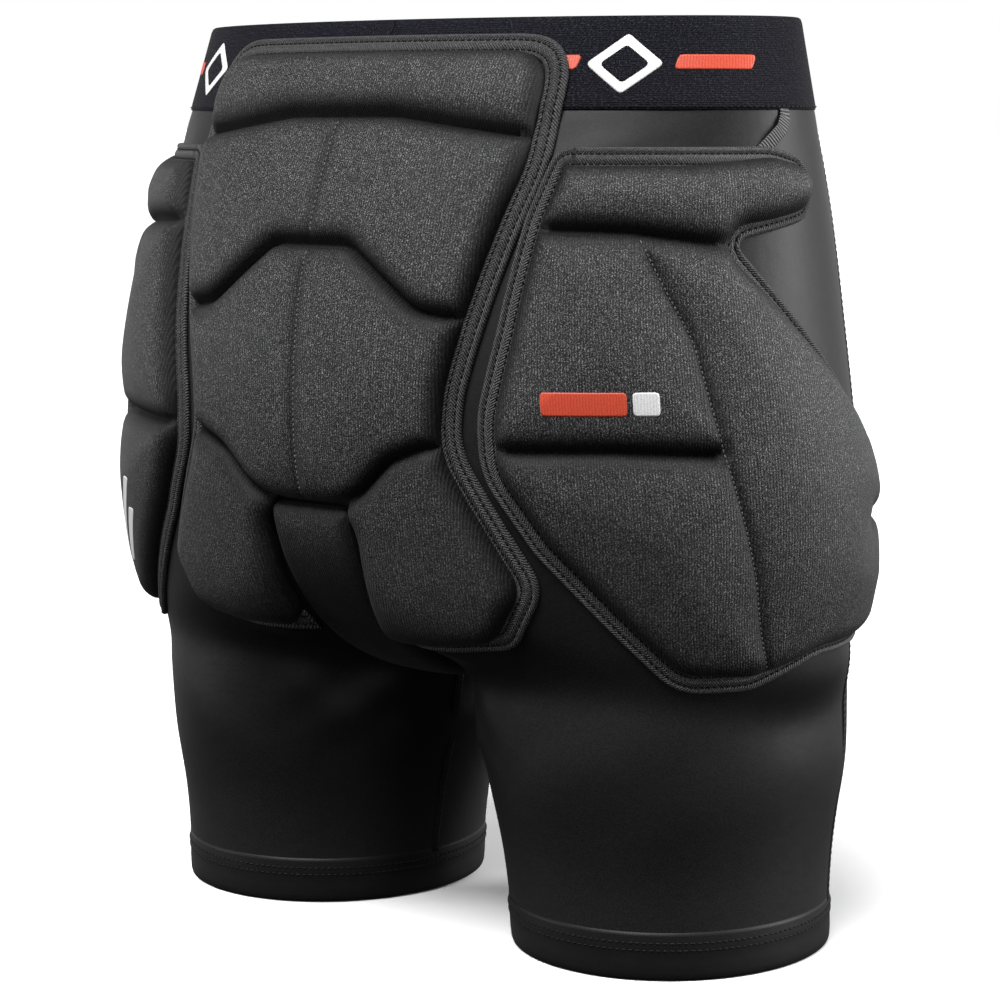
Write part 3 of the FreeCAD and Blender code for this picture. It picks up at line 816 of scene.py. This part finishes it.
# Cross-section of the fold-over tape: distance in from its outer edge, height off the shell.
TAPE_SECTION = [(0.0, 0.15), (-0.1, 1.3), (0.4, 2.4), (1.3, 2.9), (2.2, 2.7), (2.8, 2.1), (3.4, 2.1),
                (4.0, 2.8), (5.4, 3.0), (6.6, 2.8), (7.2, 2.1), (7.8, 2.1), (8.5, 2.7), (9.3, 2.6),
                (9.8, 1.4)]


def tape_place(skin, path, side, inwards, height):
    """Places a way in from the tape's outer edge and off the shell, and their outward directions."""
    spots = path + side * inwards
    base, away = skin(spots)
    return base + away * (height + flap_lift(spots))[:, None], away


def make_binding(name, skin, path, closed, nodes, bend):
    """Tape folded over a pad's edge, with a row of stitches in each of its two furrows."""
    side = sideways(path, closed)
    run = run_along(path)
    rows = [tape_place(skin, path, side, inwards, height)[0] for inwards, height in TAPE_SECTION]
    rows += [tape_place(skin, path, side, TAPE_SECTION[-1][0], 0.1)[0]]
    count, depth = len(path), len(rows)
    faces = []
    for i in range(depth):
        j = (i + 1) % depth
        for k in range(count if closed else count - 1):
            m = (k + 1) % count
            faces.append((j * count + k, i * count + k, i * count + m, j * count + m))
    if not closed:
        faces.append(tuple(i * count for i in range(depth)))
        faces.append(tuple(i * count + count - 1 for i in reversed(range(depth))))
    uv = np.vstack([np.stack([run, np.full(count, TAPE_SECTION[min(i, depth - 2)][0])], 1)
                    for i in range(depth)]) * MM
    piece = make_object(name, np.vstack(rows), faces, MATERIALS["tape"], uv=uv)
    finish_piece(piece, nodes, bend)
    stitched = []
    for inwards in TAPE_STITCHES:
        line = resampled(np.vstack([path, path[:1]]) if closed else path, STITCH_PITCH)
        stitched.append(tape_place(skin, line, sideways(line, False), inwards, 2.35))
    thread = make_stitches(name + "_stitches", stitched)
    finish_piece(thread, bend=bend)


# One stitch: share of the way to the next, share of the thread's radius. It has this many sides.
STITCH_SHAPE, STITCH_SIDES = [(0.10, 0.45), (0.24, 1.0), (0.62, 1.0), (0.76, 0.45)], 5


def make_stitches(name, rows, radius=0.42, thread="thread"):
    """Rows of short stitches. A row is its points and their outward directions."""
    sides = STITCH_SIDES
    angles = np.linspace(0, 2 * pi, sides, endpoint=False)
    parts = []
    for points, away in rows:
        for a, b, up in zip(points[:-1], points[1:], away[:-1]):
            along = b - a
            across = np.cross(along, up)
            across /= np.linalg.norm(across) + 1e-12
            turns = [across * cos(t) + up * sin(t) for t in angles]
            vertices = [a + along * s + turn * radius * r for s, r in STITCH_SHAPE for turn in turns]
            parts.append(np.array(vertices))
    rings = [range(i * sides, (i + 1) * sides) for i in range(len(STITCH_SHAPE))]
    faces = [(a[k - 1], a[k], b[k], b[k - 1]) for a, b in zip(rings, rings[1:]) for k in range(sides)]
    faces += [tuple(reversed(rings[0])), tuple(rings[-1])]
    everything = joined([(part, faces) for part in parts])
    return make_object(name, *everything, MATERIALS[thread])


def mirrored_line(points):
    """A line given for one half, carried over to the other."""
    return [(-u, v, *rest) for u, v, *rest in reversed(points)] + list(points)


def tail_lines():
    arch = rounded(mirrored_line([(22, 336, 16), (60, 308, 26), (104, 302, 0)]), closed=False)
    fold = rounded(mirrored_line([(30, 393, 60), (104, 383, 0)]), closed=False)
    keel = [rounded([(hand * 20, 219), (hand * 34, 227, 10), (hand * 50, 242, 16), (hand * 66, 248.5, 16),
                     (hand * 90, 249)], closed=False) for hand in (-1, 1)]
    seams = [rounded([(0, 389), (0, 340)], closed=False), rounded([(0, 332), (0, 222)], closed=False)]
    return [fold, arch] + keel, seams


def make_tail_pad():
    edge = [(30, 151, 0), (60, 151.5, 30), (97, 156, 16), (114, 185, 20), (81, 248, 40), (83, 272, 80),
            (106, 372, 80), (104, 431, 26)]
    path = rounded(edge + [(-u, v, r) for u, v, r in reversed(edge)], closed=False)
    foam = [(22, 220.5, 4), (28, 205, 30), (29.5, 157, 10), (60, 156.5, 30), (89, 160, 16), (104.5, 185, 17),
            (72.5, 246, 40), (74.5, 274, 80), (97, 374, 80), (95.5, 422.5, 20)]
    outline = rounded(foam + [(-u, v, r) for u, v, r in reversed(foam)])
    channels, seams = tail_lines()
    pad = Pad(seat_skin, outline, TAIL_HEIGHT, TAIL_CROWN, 9, channels, seams)
    cells = [f"tail_foam_{cell}_{hand}" for cell in ("upper", "middle", "lobe") for hand in ("right", "left")]
    nodes = ["tail_backing", "tail_cover", "tail_flap_backing", "tail_flap_cover", "tail_flap_foam"] + cells
    make_pad("tail_pad", pad, nodes, TAIL_BEND)
    make_binding("tail_binding_tape", seat_skin, path, False,
                 ["tail_binding_right", "tail_binding_left", "tail_flap_binding"], TAIL_BEND)
    make_seam("tail_pad_seams", pad, seams, TAIL_BEND)


def make_seam(name, pad, lines, bend):
    """Stitches sewn down a pad's shallow seams."""
    rows = []
    for line in lines:
        line = resampled(line, 2.3)
        line = line[inside_loop(line, pad.outline) & (distance(line, pad.outline, True) > 2)]
        rows.append(pad.place(line, 0.1))
    finish_piece(make_stitches(name, rows, 0.4, "seam_thread"), bend=bend)


HIP_EDGE = [(139, 381, 12), (150, 350, 30), (160, 300, 80), (170, 262, 60), (170, 236, 40), (148, 201, 60),
            (88, 138.5, 26), (52, 138.5, 40), (10, 151, 60), (-80, 151, 26), (-100, 186, 30), (50, 340, 5),
            (2, 349, 18), (-6, 364, 14), (3, 377, 18), (26, 381.5, 30)]


def hip_lines():
    channel = rounded([(44, 338), (64, 339, 30), (100, 343.5, 60), (165, 345)], closed=False)
    rear_rib = rounded([(66, 247), (110, 249, 60), (180, 248)], closed=False)
    front_rib = rounded([(-30, 212), (-110, 208)], closed=False)
    seam = rounded([(95, 340), (72, 296, 60), (62, 246, 80), (50, 190, 60), (43, 136)], closed=False)
    return [channel, rear_rib, front_rib], [seam]


def make_hip_pads():
    path = rounded(HIP_EDGE)
    if np.sum(path[:, 0] * np.roll(path[:, 1], -1) - np.roll(path[:, 0], -1) * path[:, 1]) < 0:
        path = path[::-1]
    inset = FRONT_INSET + (FOAM_INSET - FRONT_INSET) * smooth_step((path[:, 0] - 20) / 60)
    inner = path + sideways(path, True) * inset[:, None]
    inner = inner[distance(inner, path, True) > inset - 0.25]
    outline = resampled(np.vstack([inner, inner[:1]]), 2.2)[:-1]
    pads = {}
    channels, seams = hip_lines()
    x, y = HIP_FOLD_AT
    for hand, side in HANDS:
        skin = partial(hip_skin, hand=hand)
        pad = Pad(skin, outline, HIP_HEIGHT, HIP_CROWN, 9, channels, seams)
        low, high = ((hand * x * MM, y * MM, (HIP_FOLD + rise) * MM)
                     for rise in (-HIP_FOLD_HALF, HIP_FOLD_HALF))
        bend = (GARMENT, "hip_lobe_" + side, low, high)
        cells = [f"hip_foam_{end}_{level}_{side}"
                 for end in ("rear", "front") for level in ("upper", "lower")]
        nodes = [f"hip_{part}_{side}" for part in ("backing", "cover")]
        nodes += [f"hip_lobe_{part}_{side}" for part in ("backing", "cover", "foam")]
        make_pad("hip_pad_" + side, pad, nodes + cells, bend)
        make_binding("hip_binding_tape_" + side, skin, path, True,
                     [f"hip_binding_{side}", f"hip_lobe_binding_{side}"], bend)
        make_seam("hip_pad_seams_" + side, pad, seams, bend)
        pads[side] = (pad, bend)
    return pads


# Tongue ------------------------------------------------------------------------------------------------

def tongue_profile():
    """Side view of the valley's floor from the keel forwards, as (behind, height), evenly spaced."""
    z = SEAT_TURN - (SEAT_TURN - CROTCH_HEIGHT) * np.sin(np.linspace(0.05, pi / 2, 200))
    down = ((SEAT_TURN - z) / (SEAT_TURN - CROTCH_HEIGHT)) ** UNDERSIDE_POWER
    y = REAR_START + REAR_REACH * np.maximum(1 - down, 0) ** (1 / UNDERSIDE_POWER) + SHIFT
    path = np.stack([y, z], 1)
    path = path[z < TONGUE_TOP]
    return resampled(np.vstack([path, [(TONGUE_TIP + SHIFT, CROTCH_HEIGHT)]]), 2)


def tongue_skin(uv):
    """Places on the valley's floor. u runs across, v down from the keel and forwards."""
    path = tongue_profile()
    run = run_along(path)
    along = np.gradient(path, axis=0)
    along = unit(along)
    y, z = (np.interp(uv[:, 1], run, path[:, k]) for k in (0, 1))
    ny, nz = (np.interp(uv[:, 1], run, n) for n in (-along[:, 1], along[:, 0]))
    away = np.stack([np.zeros(len(uv)), ny, nz], 1)
    away = unit(away)
    return np.stack([uv[:, 0], y, z], 1), away


def make_tongue():
    reach = run_along(tongue_profile())[-1]
    half = TONGUE_HALF
    outline = rounded([(-half + 3, 0, 5), (half - 3, 0, 5), (half - 1, reach * 0.5, 60),
                       (half - 8, reach - 4, 14), (-half + 8, reach - 4, 14), (-half + 1, reach * 0.5, 60)])
    pad = Pad(tongue_skin, outline, TONGUE_HEIGHT, TONGUE_CROWN, 8, [])
    make_pad("tongue_pad", pad, ["tongue_backing", "tongue_cover", "tail_foam_tongue"])


# Tethers and marks -------------------------------------------------------------------------------------

def strap(name, path, half, thickness, rows, material):
    """A flat strap that follows a path of (point, outward direction, sideways direction)."""
    section = [(-1, 0), (-1, 0.8), (-0.8, 1), (0.8, 1), (1, 0.8), (1, 0)]
    vertices = [p + across * half * s + away * thickness * t for p, away, across in rows for s, t in section]
    size = len(section)
    faces = []
    for i in range(len(rows) - 1):
        for k in range(size):
            m = (k + 1) % size
            faces.append((i * size + m, i * size + k, (i + 1) * size + k, (i + 1) * size + m))
    faces.append(tuple(range(size)))
    faces.append(tuple((len(rows) - 1) * size + k for k in reversed(range(size))))
    uv = [(s * half * MM, path[i] * MM) for i in range(len(rows)) for s, _ in section]
    return make_object(name, np.array(vertices), faces, material, uv=np.array(uv))


def make_tethers():
    """Ribbed elastic from under the waistband to the top of each hip lobe."""
    line = resampled(np.array([(11.3, 400), (11.6, 395), (16, 389.5), (23.5, 384.5), (31, 379)]), 1.2)
    share = np.linspace(0, 1, len(line))
    for hand, side in HANDS:
        skin, away = hip_skin(line, hand)
        across = np.cross(np.gradient(skin, axis=0), away) * -hand
        across = unit(across)
        skin = skin + away * (-0.1 + 1.5 * np.sin(pi * share) ** 1.5)[:, None]
        run = np.arange(len(line)) * 1.2
        piece = strap("tether_" + side, run, TETHER_HALF, 0.8, list(zip(skin, away, across)),
                      MATERIALS["tether"])
        bend = (GARMENT, "hip_lobe_" + side, (0, 0, BAND_FOOT * MM), (0, 0, 380 * MM))
        finish_piece(piece, ["hip_tether_" + side], bend)


def patch(name, loop, lay, material, bend, spacing=2.0, thickness=PRINT_THICKNESS):
    """A thin printed shape. lay turns plane points into places and outward directions."""
    uv, faces = net_inside(np.asarray(loop), [], spacing)
    outer, away = lay(uv)
    vertices, faces = closed_sheet(outer, outer - away * thickness, faces)
    piece = make_object(name, vertices, faces, material, uv=np.vstack([uv, uv]) * MM)
    finish_piece(piece, bend=bend)
    return piece


def slab(low, high, lean=0.0, radius=1.5):
    """A bar between two corners, leaning by a share of its height."""
    (u1, v1), (u2, v2) = low, high
    push = lean * (v2 - v1)
    return rounded([(u1, v1, radius), (u2, v1, radius), (u2 + push, v2, radius), (u1 + push, v2, radius)],
                   pitch=1.6)


def band_place(uv, hand, lift=0.0):
    """Places on the waistband's face. u runs round from the middle of the back to the given side."""
    z = uv[:, 1]
    turn = np.interp(BAND_RUN[-1] - uv[:, 0], BAND_RUN, BAND_TURN)
    across, behind = hand * np.cos(turn), np.sin(turn)
    away = unit(np.stack([across / trunk_width(z), behind / trunk_depth(z), np.zeros(len(z))], 1))
    p = np.stack([(trunk_width(z) + BAND_FACE) * across,
                  SHIFT + trunk_behind(z) + (trunk_depth(z) + BAND_FACE) * behind, z], 1)
    return p + away * lift, away


def rear_band_place(uv):
    """Places on the waistband's face near the middle of the back. u runs across."""
    u, z = uv.T
    width, depth = trunk_width(z) + BAND_FACE, trunk_depth(z) + BAND_FACE
    y = np.sqrt(1 - (u / width) ** 2)
    away = np.stack([u / width ** 2, y / depth, np.zeros(len(z))], 1)
    away = unit(away)
    return np.stack([u, SHIFT + trunk_behind(z) + depth * y, z], 1) + away * 0.5, away


def make_band_join():
    """The waistband's ends, overlapped at the middle of the back and sewn down twice."""
    half = BAND_JOIN_HALF
    join = patch("waistband_join_lap", slab((-half, BAND_FOOT + 0.5), (half, BAND_TOP - 0.5), radius=0.6),
                 rear_band_place, MATERIALS["band"], None, thickness=0.7)
    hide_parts("waistband_join")
    z = np.arange(BAND_FOOT + 2, BAND_TOP - 1, STITCH_PITCH)
    rows = [rear_band_place(np.stack([np.full(len(z), u), z], 1)) for u in (-half + 1.5, half - 1.5)]
    finish_piece(make_stitches("waistband_join_stitches", rows))


def diamond(u, v, width, height):
    return rounded([(u, v - height, 2), (u + width, v, 2), (u, v + height, 2), (u - width, v, 2)], pitch=1.2)


def make_band_marks():
    """A plain white lozenge between two orange bars, on both sides of the waistband."""
    for hand, side in HANDS:
        face = partial(band_place, hand=hand)
        inlay = partial(band_place, hand=hand, lift=INLAY_LIFT)
        patch("band_lozenge_" + side, diamond(126, 418.5, 17, 13.5), face, MATERIALS["white"],
              None)
        patch("band_lozenge_middle_" + side, diamond(126, 418.5, 11, 8.5), inlay, MATERIALS["band"],
              None)
        for k, (low, high) in enumerate(((84, 105), (147, 180))):
            patch(f"band_bar_{k + 1}_{side}", slab((low, 416), (high, 422.5), 0.3), face,
                  MATERIALS["orange"], None)


def make_hip_marks(pads):
    """Plain printed shapes: a bar and a block on the right hip, slanted strokes on the left."""
    pad, bend = pads["right"]
    lay = partial(pad.place, extra=PRINT_LIFT)
    patch("hip_bar", slab((102, 264.5), (138, 274.5)), lay, MATERIALS["orange"], bend)
    patch("hip_block", slab((88.5, 264.5), (99.5, 274.5)), lay, MATERIALS["white"], bend)
    pad, bend = pads["left"]
    lay = partial(pad.place, extra=PRINT_LIFT)
    for k, (foot, low, high) in enumerate(((62, 164, 216), (80, 170, 200))):
        patch(f"hip_stroke_{k + 1}", slab((foot, low), (foot + 8, high), 0.8), lay, MATERIALS["white"],
              bend)


# Seams of the shell ------------------------------------------------------------------------------------

def seam_ribbon(name, points, away, half, height):
    """A flat-lock seam: a low ribbon of cloth with a row of stitches down each side."""
    across = np.cross(np.gradient(points, axis=0), away)
    across = unit(across)
    run = run_along(points)
    base = points - away * 0.2
    ribbon = strap(name, run, half, height, list(zip(base, away, across)), MATERIALS["shell"])
    finish_piece(ribbon)
    rows = [(points + across * s * half * 0.62 + away * (height - 0.25), away) for s in (-1, 1)]
    finish_piece(make_stitches(name + "_stitches", rows, 0.28))


def make_shell_seams():
    for hand, side in HANDS:
        z = np.arange(CUFF_HEIGHT, BAND_FOOT + 1, 3.2)
        start = np.stack([np.full(len(z), hand * 240.0), np.full(len(z), SHIFT - FRONT_SEAM), z], 1)
        skin = along_rays(start, np.array([-float(hand), 0, 0]), reach=200)
        seam_ribbon("side_seam_" + side, skin, normals(skin), 2.6, 0.45)
        z = np.arange(CUFF_HEIGHT, 118, 3.2)
        start = np.stack([np.zeros(len(z)), np.full(len(z), SHIFT + 14.0), z], 1)
        skin = along_rays(start, np.array([float(hand), 0, 0]), reach=120)
        seam_ribbon("inner_seam_" + side, skin, normals(skin), 2.2, 0.45)


# Materials ---------------------------------------------------------------------------------------------

def set_stops(ramp, stops):
    """Give a colour ramp its stops, each (place, colour)."""
    elements = ramp.elements
    while len(elements) < len(stops):
        elements.new(0.5)
    for element, (place, colour) in zip(elements, stops):
        element.position = place
        element.color = (*colour, 1)


class Graph:
    """A node material under construction."""

    def __init__(self, name, roughness, sheen=0.0, sheen_roughness=0.5, specular=0.5):
        self.material = bpy.data.materials.new(name)
        self.material.use_nodes = True
        self.tree = self.material.node_tree
        self.shader = self.tree.nodes["Principled BSDF"]
        self.shader.inputs["Roughness"].default_value = roughness
        self.shader.inputs["Sheen Weight"].default_value = sheen
        self.shader.inputs["Sheen Roughness"].default_value = sheen_roughness
        self.shader.inputs["Specular IOR Level"].default_value = specular

    def node(self, kind, inputs=None, **settings):
        node = self.tree.nodes.new("ShaderNode" + kind)
        for key, value in settings.items():
            setattr(node, key, value)
        for key, value in (inputs or {}).items():
            if isinstance(value, bpy.types.NodeSocket):
                self.tree.links.new(value, node.inputs[key])
            else:
                node.inputs[key].default_value = value
        return node

    def fabric(self, scale_u=1000.0, scale_v=1000.0):
        """The cloth's own coordinates in millimetres, stretched as asked."""
        place = self.node("UVMap", uv_map="fabric").outputs[0]
        return self.node("Mapping", {"Vector": place, "Scale": (scale_u, scale_v, 1)}).outputs[0]

    def solid(self, scale=1000.0):
        place = self.node("TexCoord").outputs["Object"]
        return self.node("Mapping", {"Vector": place, "Scale": (scale, scale, scale)}).outputs[0]

    def noise(self, place, scale, detail=2.0, roughness=0.6):
        return self.node("TexNoise", {"Vector": place, "Scale": scale, "Detail": detail,
                                      "Roughness": roughness}).outputs["Fac"]

    def wave(self, place, period, direction="X", distortion=0.0, shape="BANDS"):
        """Stripes of the given period in millimetres."""
        return self.node("TexWave", {"Vector": place, "Scale": 2 * pi / (20 * period),
                                     "Distortion": distortion, "Detail": 1.0, "Detail Scale": 1.5},
                         wave_type=shape, bands_direction=direction).outputs["Fac"]

    def ramp(self, value, stops):
        node = self.node("ValToRGB", {"Fac": value})
        set_stops(node.color_ramp, stops)
        return node.outputs["Color"]

    def math(self, operation, a, b):
        return self.node("Math", {0: a, 1: b}, operation=operation).outputs[0]

    def mix(self, share, a, b, blend="MIX"):
        node = self.node("Mix", data_type="RGBA", blend_type=blend)
        for socket, value in ((node.inputs[0], share), (node.inputs[6], a), (node.inputs[7], b)):
            if isinstance(value, bpy.types.NodeSocket):
                self.tree.links.new(value, socket)
            else:
                socket.default_value = value
        return node.outputs[2]

    def colour(self, socket):
        self.tree.links.new(socket, self.shader.inputs["Base Color"])

    def roughness(self, value, low, high):
        ranged = self.node("MapRange", {"Value": value, "To Min": low, "To Max": high}).outputs[0]
        self.tree.links.new(ranged, self.shader.inputs["Roughness"])

    def bump(self, layers):
        """Stacked bumps, each (height socket, depth in millimetres)."""
        normal = None
        for height, depth in layers:
            inputs = {"Height": height, "Strength": 1.0, "Distance": depth * MM}
            if normal:
                inputs["Normal"] = normal
            normal = self.node("Bump", inputs).outputs[0]
        self.tree.links.new(normal, self.shader.inputs["Normal"])


def grey(value, blue=1.0):
    return (value, value, value * blue)


def cover_material():
    """Heathered charcoal knit: fine light flecks on vertical ribs, darkened by painted shade down the cells'
    walls, along the channels and on faces that turn down.
    """
    g = Graph("cover_knit", 0.58, sheen=0.02, sheen_roughness=0.35, specular=0.2)
    flecks = g.noise(g.solid(), 1.8, 2, 0.85)
    ribs = g.wave(g.fabric(), 1.25, distortion=1.0)
    patches = g.noise(g.fabric(), 0.035, 3)
    base = g.ramp(flecks, [(0.40, grey(0.001, 1.03)), (0.48, grey(0.010, 1.03)), (0.56, grey(0.048, 1.02)),
                           (0.66, grey(0.25, 1.02))])
    ribbed = g.mix(0.6, base, g.ramp(ribs, [(0.1, grey(0.1)), (0.75, grey(1.0))]), "MULTIPLY")
    mottled = g.mix(0.35, ribbed, g.ramp(patches, [(0.3, grey(0.6)), (0.7, grey(1.0))]), "MULTIPLY")
    # painted shade from the mesh, darkening the colour down to a tenth
    shade = g.node("Attribute", attribute_name="shade").outputs["Fac"]
    g.colour(g.mix(1.0, mottled, g.ramp(shade, [(0.0, grey(0.10)), (0.5, grey(0.5)), (1.0, grey(1.0))]),
                   "MULTIPLY"))
    g.roughness(flecks, 0.48, 0.72)
    g.bump([(patches, 0.35), (ribs, 0.12), (flecks, 0.2)])
    return g.material


def shell_material():
    """Smooth black stretch jersey with a soft sheen, darkened by painted shade on faces that turn down."""
    g = Graph("shell_jersey", 0.5, sheen=0.01, sheen_roughness=0.3, specular=0.2)
    place = g.solid()
    grain = g.noise(place, 1.3, 2, 0.7)
    drift = g.noise(place, 0.012, 3)
    # painted shade from the mesh, darkening the colour down to three tenths on faces that turn down
    shade = g.node("Attribute", attribute_name="shade").outputs["Fac"]
    cloth = g.mix(0.4, g.ramp(grain, [(0.35, grey(0.0015, 1.1)), (0.65, grey(0.012, 1.1))]),
                  g.ramp(drift, [(0.3, grey(0.003, 1.1)), (0.7, grey(0.008, 1.1))]))
    g.colour(g.mix(1.0, cloth, g.ramp(shade, [(0.2, grey(0.3)), (1.0, grey(1.0))]), "MULTIPLY"))
    g.roughness(drift, 0.46, 0.56)
    g.bump([(g.noise(place, 0.03, 3), 0.5), (grain, 0.06)])
    return g.material


def band_material():
    """Blue-black woven elastic with fine ribs round the waist."""
    g = Graph("waistband_weave", 0.65, sheen=0.0, sheen_roughness=0.4, specular=0.06)
    place = g.fabric()
    ribs = g.wave(place, 1.1, distortion=0.6)
    picks = g.wave(place, 1.0, direction="Y", distortion=0.6)
    fuzz = g.noise(place, 1.15, 2, 0.8)
    weave = g.math("MULTIPLY", ribs, picks)
    base = g.ramp(weave, [(0.0, (0.001, 0.001, 0.002)), (1.0, (0.006, 0.006, 0.011))])
    g.colour(g.mix(0.6, base, g.ramp(fuzz, [(0.42, (0.001, 0.001, 0.002)), (0.54, (0.005, 0.005, 0.009)),
                                             (0.68, (0.05, 0.05, 0.068))])))
    g.roughness(fuzz, 0.5, 0.7)
    g.bump([(ribs, 0.16), (picks, 0.1), (fuzz, 0.12)])
    return g.material


def tape_material():
    """Black herringbone binding: diagonal ribs that turn back at the middle of the tape."""
    g = Graph("binding_twill", 0.5, sheen=0.02, sheen_roughness=0.35, specular=0.2)
    place = g.fabric()
    split = g.node("SeparateXYZ", {"Vector": place})
    run, across = split.outputs[0], split.outputs[1]
    folded = g.node("Math", {0: across, 1: 5.2}, operation="PINGPONG").outputs[0]
    slanted = g.math("ADD", run, folded)
    ribs = g.wave(g.node("CombineXYZ", {"X": slanted}).outputs[0], 1.4, distortion=0.5)
    fuzz = g.noise(g.solid(), 1.3, 2, 0.8)
    base = g.ramp(ribs, [(0.25, grey(0.002)), (0.8, grey(0.075))])
    g.colour(g.mix(0.45, base, g.ramp(fuzz, [(0.4, grey(0.002)), (0.52, grey(0.02)), (0.68, grey(0.14))])))
    g.roughness(fuzz, 0.42, 0.62)
    g.bump([(ribs, 0.3), (fuzz, 0.12)])
    return g.material


def tether_material():
    """Ribbed elastic, a little greyer than the tape."""
    g = Graph("tether_ribs", 0.6, sheen=0.02, specular=0.18)
    place = g.fabric()
    ribs = g.wave(place, 1.5, direction="Y")
    fuzz = g.noise(place, 1.6, 2, 0.7)
    g.colour(g.mix(0.3, g.ramp(ribs, [(0.2, grey(0.002)), (0.8, grey(0.13))]),
                   g.ramp(fuzz, [(0.35, grey(0.004)), (0.7, grey(0.1))])))
    g.bump([(ribs, 0.35), (fuzz, 0.05)])
    return g.material


def thread_material(name, low, high):
    """Dull polyester thread."""
    g = Graph(name, 0.5, sheen=0.02, specular=0.12)
    plies = g.noise(g.solid(), 2.4, 1)
    g.colour(g.ramp(plies, [(0.3, grey(low)), (0.7, grey(high))]))
    g.bump([(plies, 0.08)])
    return g.material


def print_material(name, low, high):
    """Transfer print that lets the ribs of the knit show through."""
    g = Graph(name, 0.5, specular=0.4)
    place = g.fabric()
    ribs = g.wave(place, 1.25, distortion=1.2)
    specks = g.noise(place, 1.6, 3, 0.75)
    g.colour(g.mix(0.25, g.ramp(specks, [(0.3, low), (0.55, high)]), g.ramp(ribs, [(0.1, low), (0.7, high)])))
    g.roughness(specks, 0.42, 0.6)
    g.bump([(ribs, 0.06), (specks, 0.05)])
    return g.material


MATERIALS = {
    "cover": cover_material(),
    "shell": shell_material(),
    "band": band_material(),
    "tape": tape_material(),
    "tether": tether_material(),
    "thread": thread_material("polyester_thread", 0.0015, 0.006),
    "seam_thread": thread_material("seam_thread", 0.012, 0.16),
    "orange": print_material("print_orange", (0.25, 0.02, 0.008), (0.52, 0.055, 0.020)),
    "white": print_material("print_white", (0.34, 0.34, 0.34), (0.62, 0.62, 0.62)),
}


# Stage -------------------------------------------------------------------------------------------------

def area_light(name, place, aim, size, power):
    data = bpy.data.lights.new(name, "AREA")
    data.shape, data.size, data.size_y, data.energy = "RECTANGLE", size[0], size[1], power
    light = bpy.data.objects.new(name, data)
    light.location = place
    light.rotation_euler = (Vector(aim) - Vector(place)).to_track_quat("-Z", "Y").to_euler()
    bpy.context.scene.collection.objects.link(light)


def floor_material():
    g = Graph("studio_floor", 0.9, specular=0.1)
    g.colour(g.ramp(g.noise(g.solid(1.0), 3.0, 2), [(0.3, grey(0.80)), (0.7, grey(0.82))]))
    return g.material


def studio_world():
    """White walls at eye level, a dim ceiling, and nothing from under the floor."""
    world = bpy.data.worlds.new("studio")
    world.use_nodes = True
    nodes, links = world.node_tree.nodes, world.node_tree.links
    direction = nodes.new("ShaderNodeTexCoord").outputs["Generated"]
    split = nodes.new("ShaderNodeSeparateXYZ")
    height = nodes.new("ShaderNodeMapRange")
    height.inputs["From Min"].default_value = -1
    fade = nodes.new("ShaderNodeValToRGB")
    links.new(direction, split.inputs[0])
    links.new(split.outputs["Z"], height.inputs["Value"])
    links.new(height.outputs["Result"], fade.inputs["Fac"])
    links.new(fade.outputs["Color"], nodes["Background"].inputs["Color"])
    set_stops(fade.color_ramp, [((rise + 1) / 2, grey(light)) for rise, light in WORLD_LIGHT])
    bpy.context.scene.world = world


def sun_light(name, turn, height, power):
    """Broad soft light from a direction: degrees round from behind the wearer, degrees up."""
    data = bpy.data.lights.new(name, "SUN")
    data.energy, data.angle = power, radians(SUN_SPREAD)
    light = bpy.data.objects.new(name, data)
    turn, height = radians(turn), radians(height)
    away = Vector((-sin(turn) * cos(height), cos(turn) * cos(height), sin(height)))
    light.rotation_euler = away.to_track_quat("Z", "Y").to_euler()
    bpy.context.scene.collection.objects.link(light)


def make_stage():
    """A wide pale floor, a soft key light from above, and a strip light at each side."""
    half = FLOOR_HALF
    mesh = bpy.data.meshes.new("floor")
    mesh.from_pydata([(-half, -half, FLOOR_DROP), (half, -half, FLOOR_DROP), (half, half, FLOOR_DROP),
                      (-half, half, FLOOR_DROP)], [], [(0, 1, 2, 3)])
    mesh.materials.append(floor_material())
    floor = bpy.data.objects.new("floor", mesh)
    floor.visible_diffuse = floor.visible_glossy = False
    bpy.context.scene.collection.objects.link(floor)
    studio_world()
    sun_light("key", 8, 60, 6.0)
    aim = (0, 0, 0.24)
    area_light("right_strip", (-1.55, -1.0, 0.85), aim, (0.5, 1.5), 58)
    area_light("left_strip", (1.5, 1.2, 0.4), aim, (0.4, 1.2), 10)
    bpy.context.scene.view_settings.view_transform = "Standard"


# Assembly ----------------------------------------------------------------------------------------------

make_shell()
make_shell_seams()
make_cuffs()
make_waistband()
make_tail_pad()
make_tongue()
hip_pads = make_hip_pads()
make_tethers()
make_band_join()
make_band_marks()
make_hip_marks(hip_pads)
make_stage()
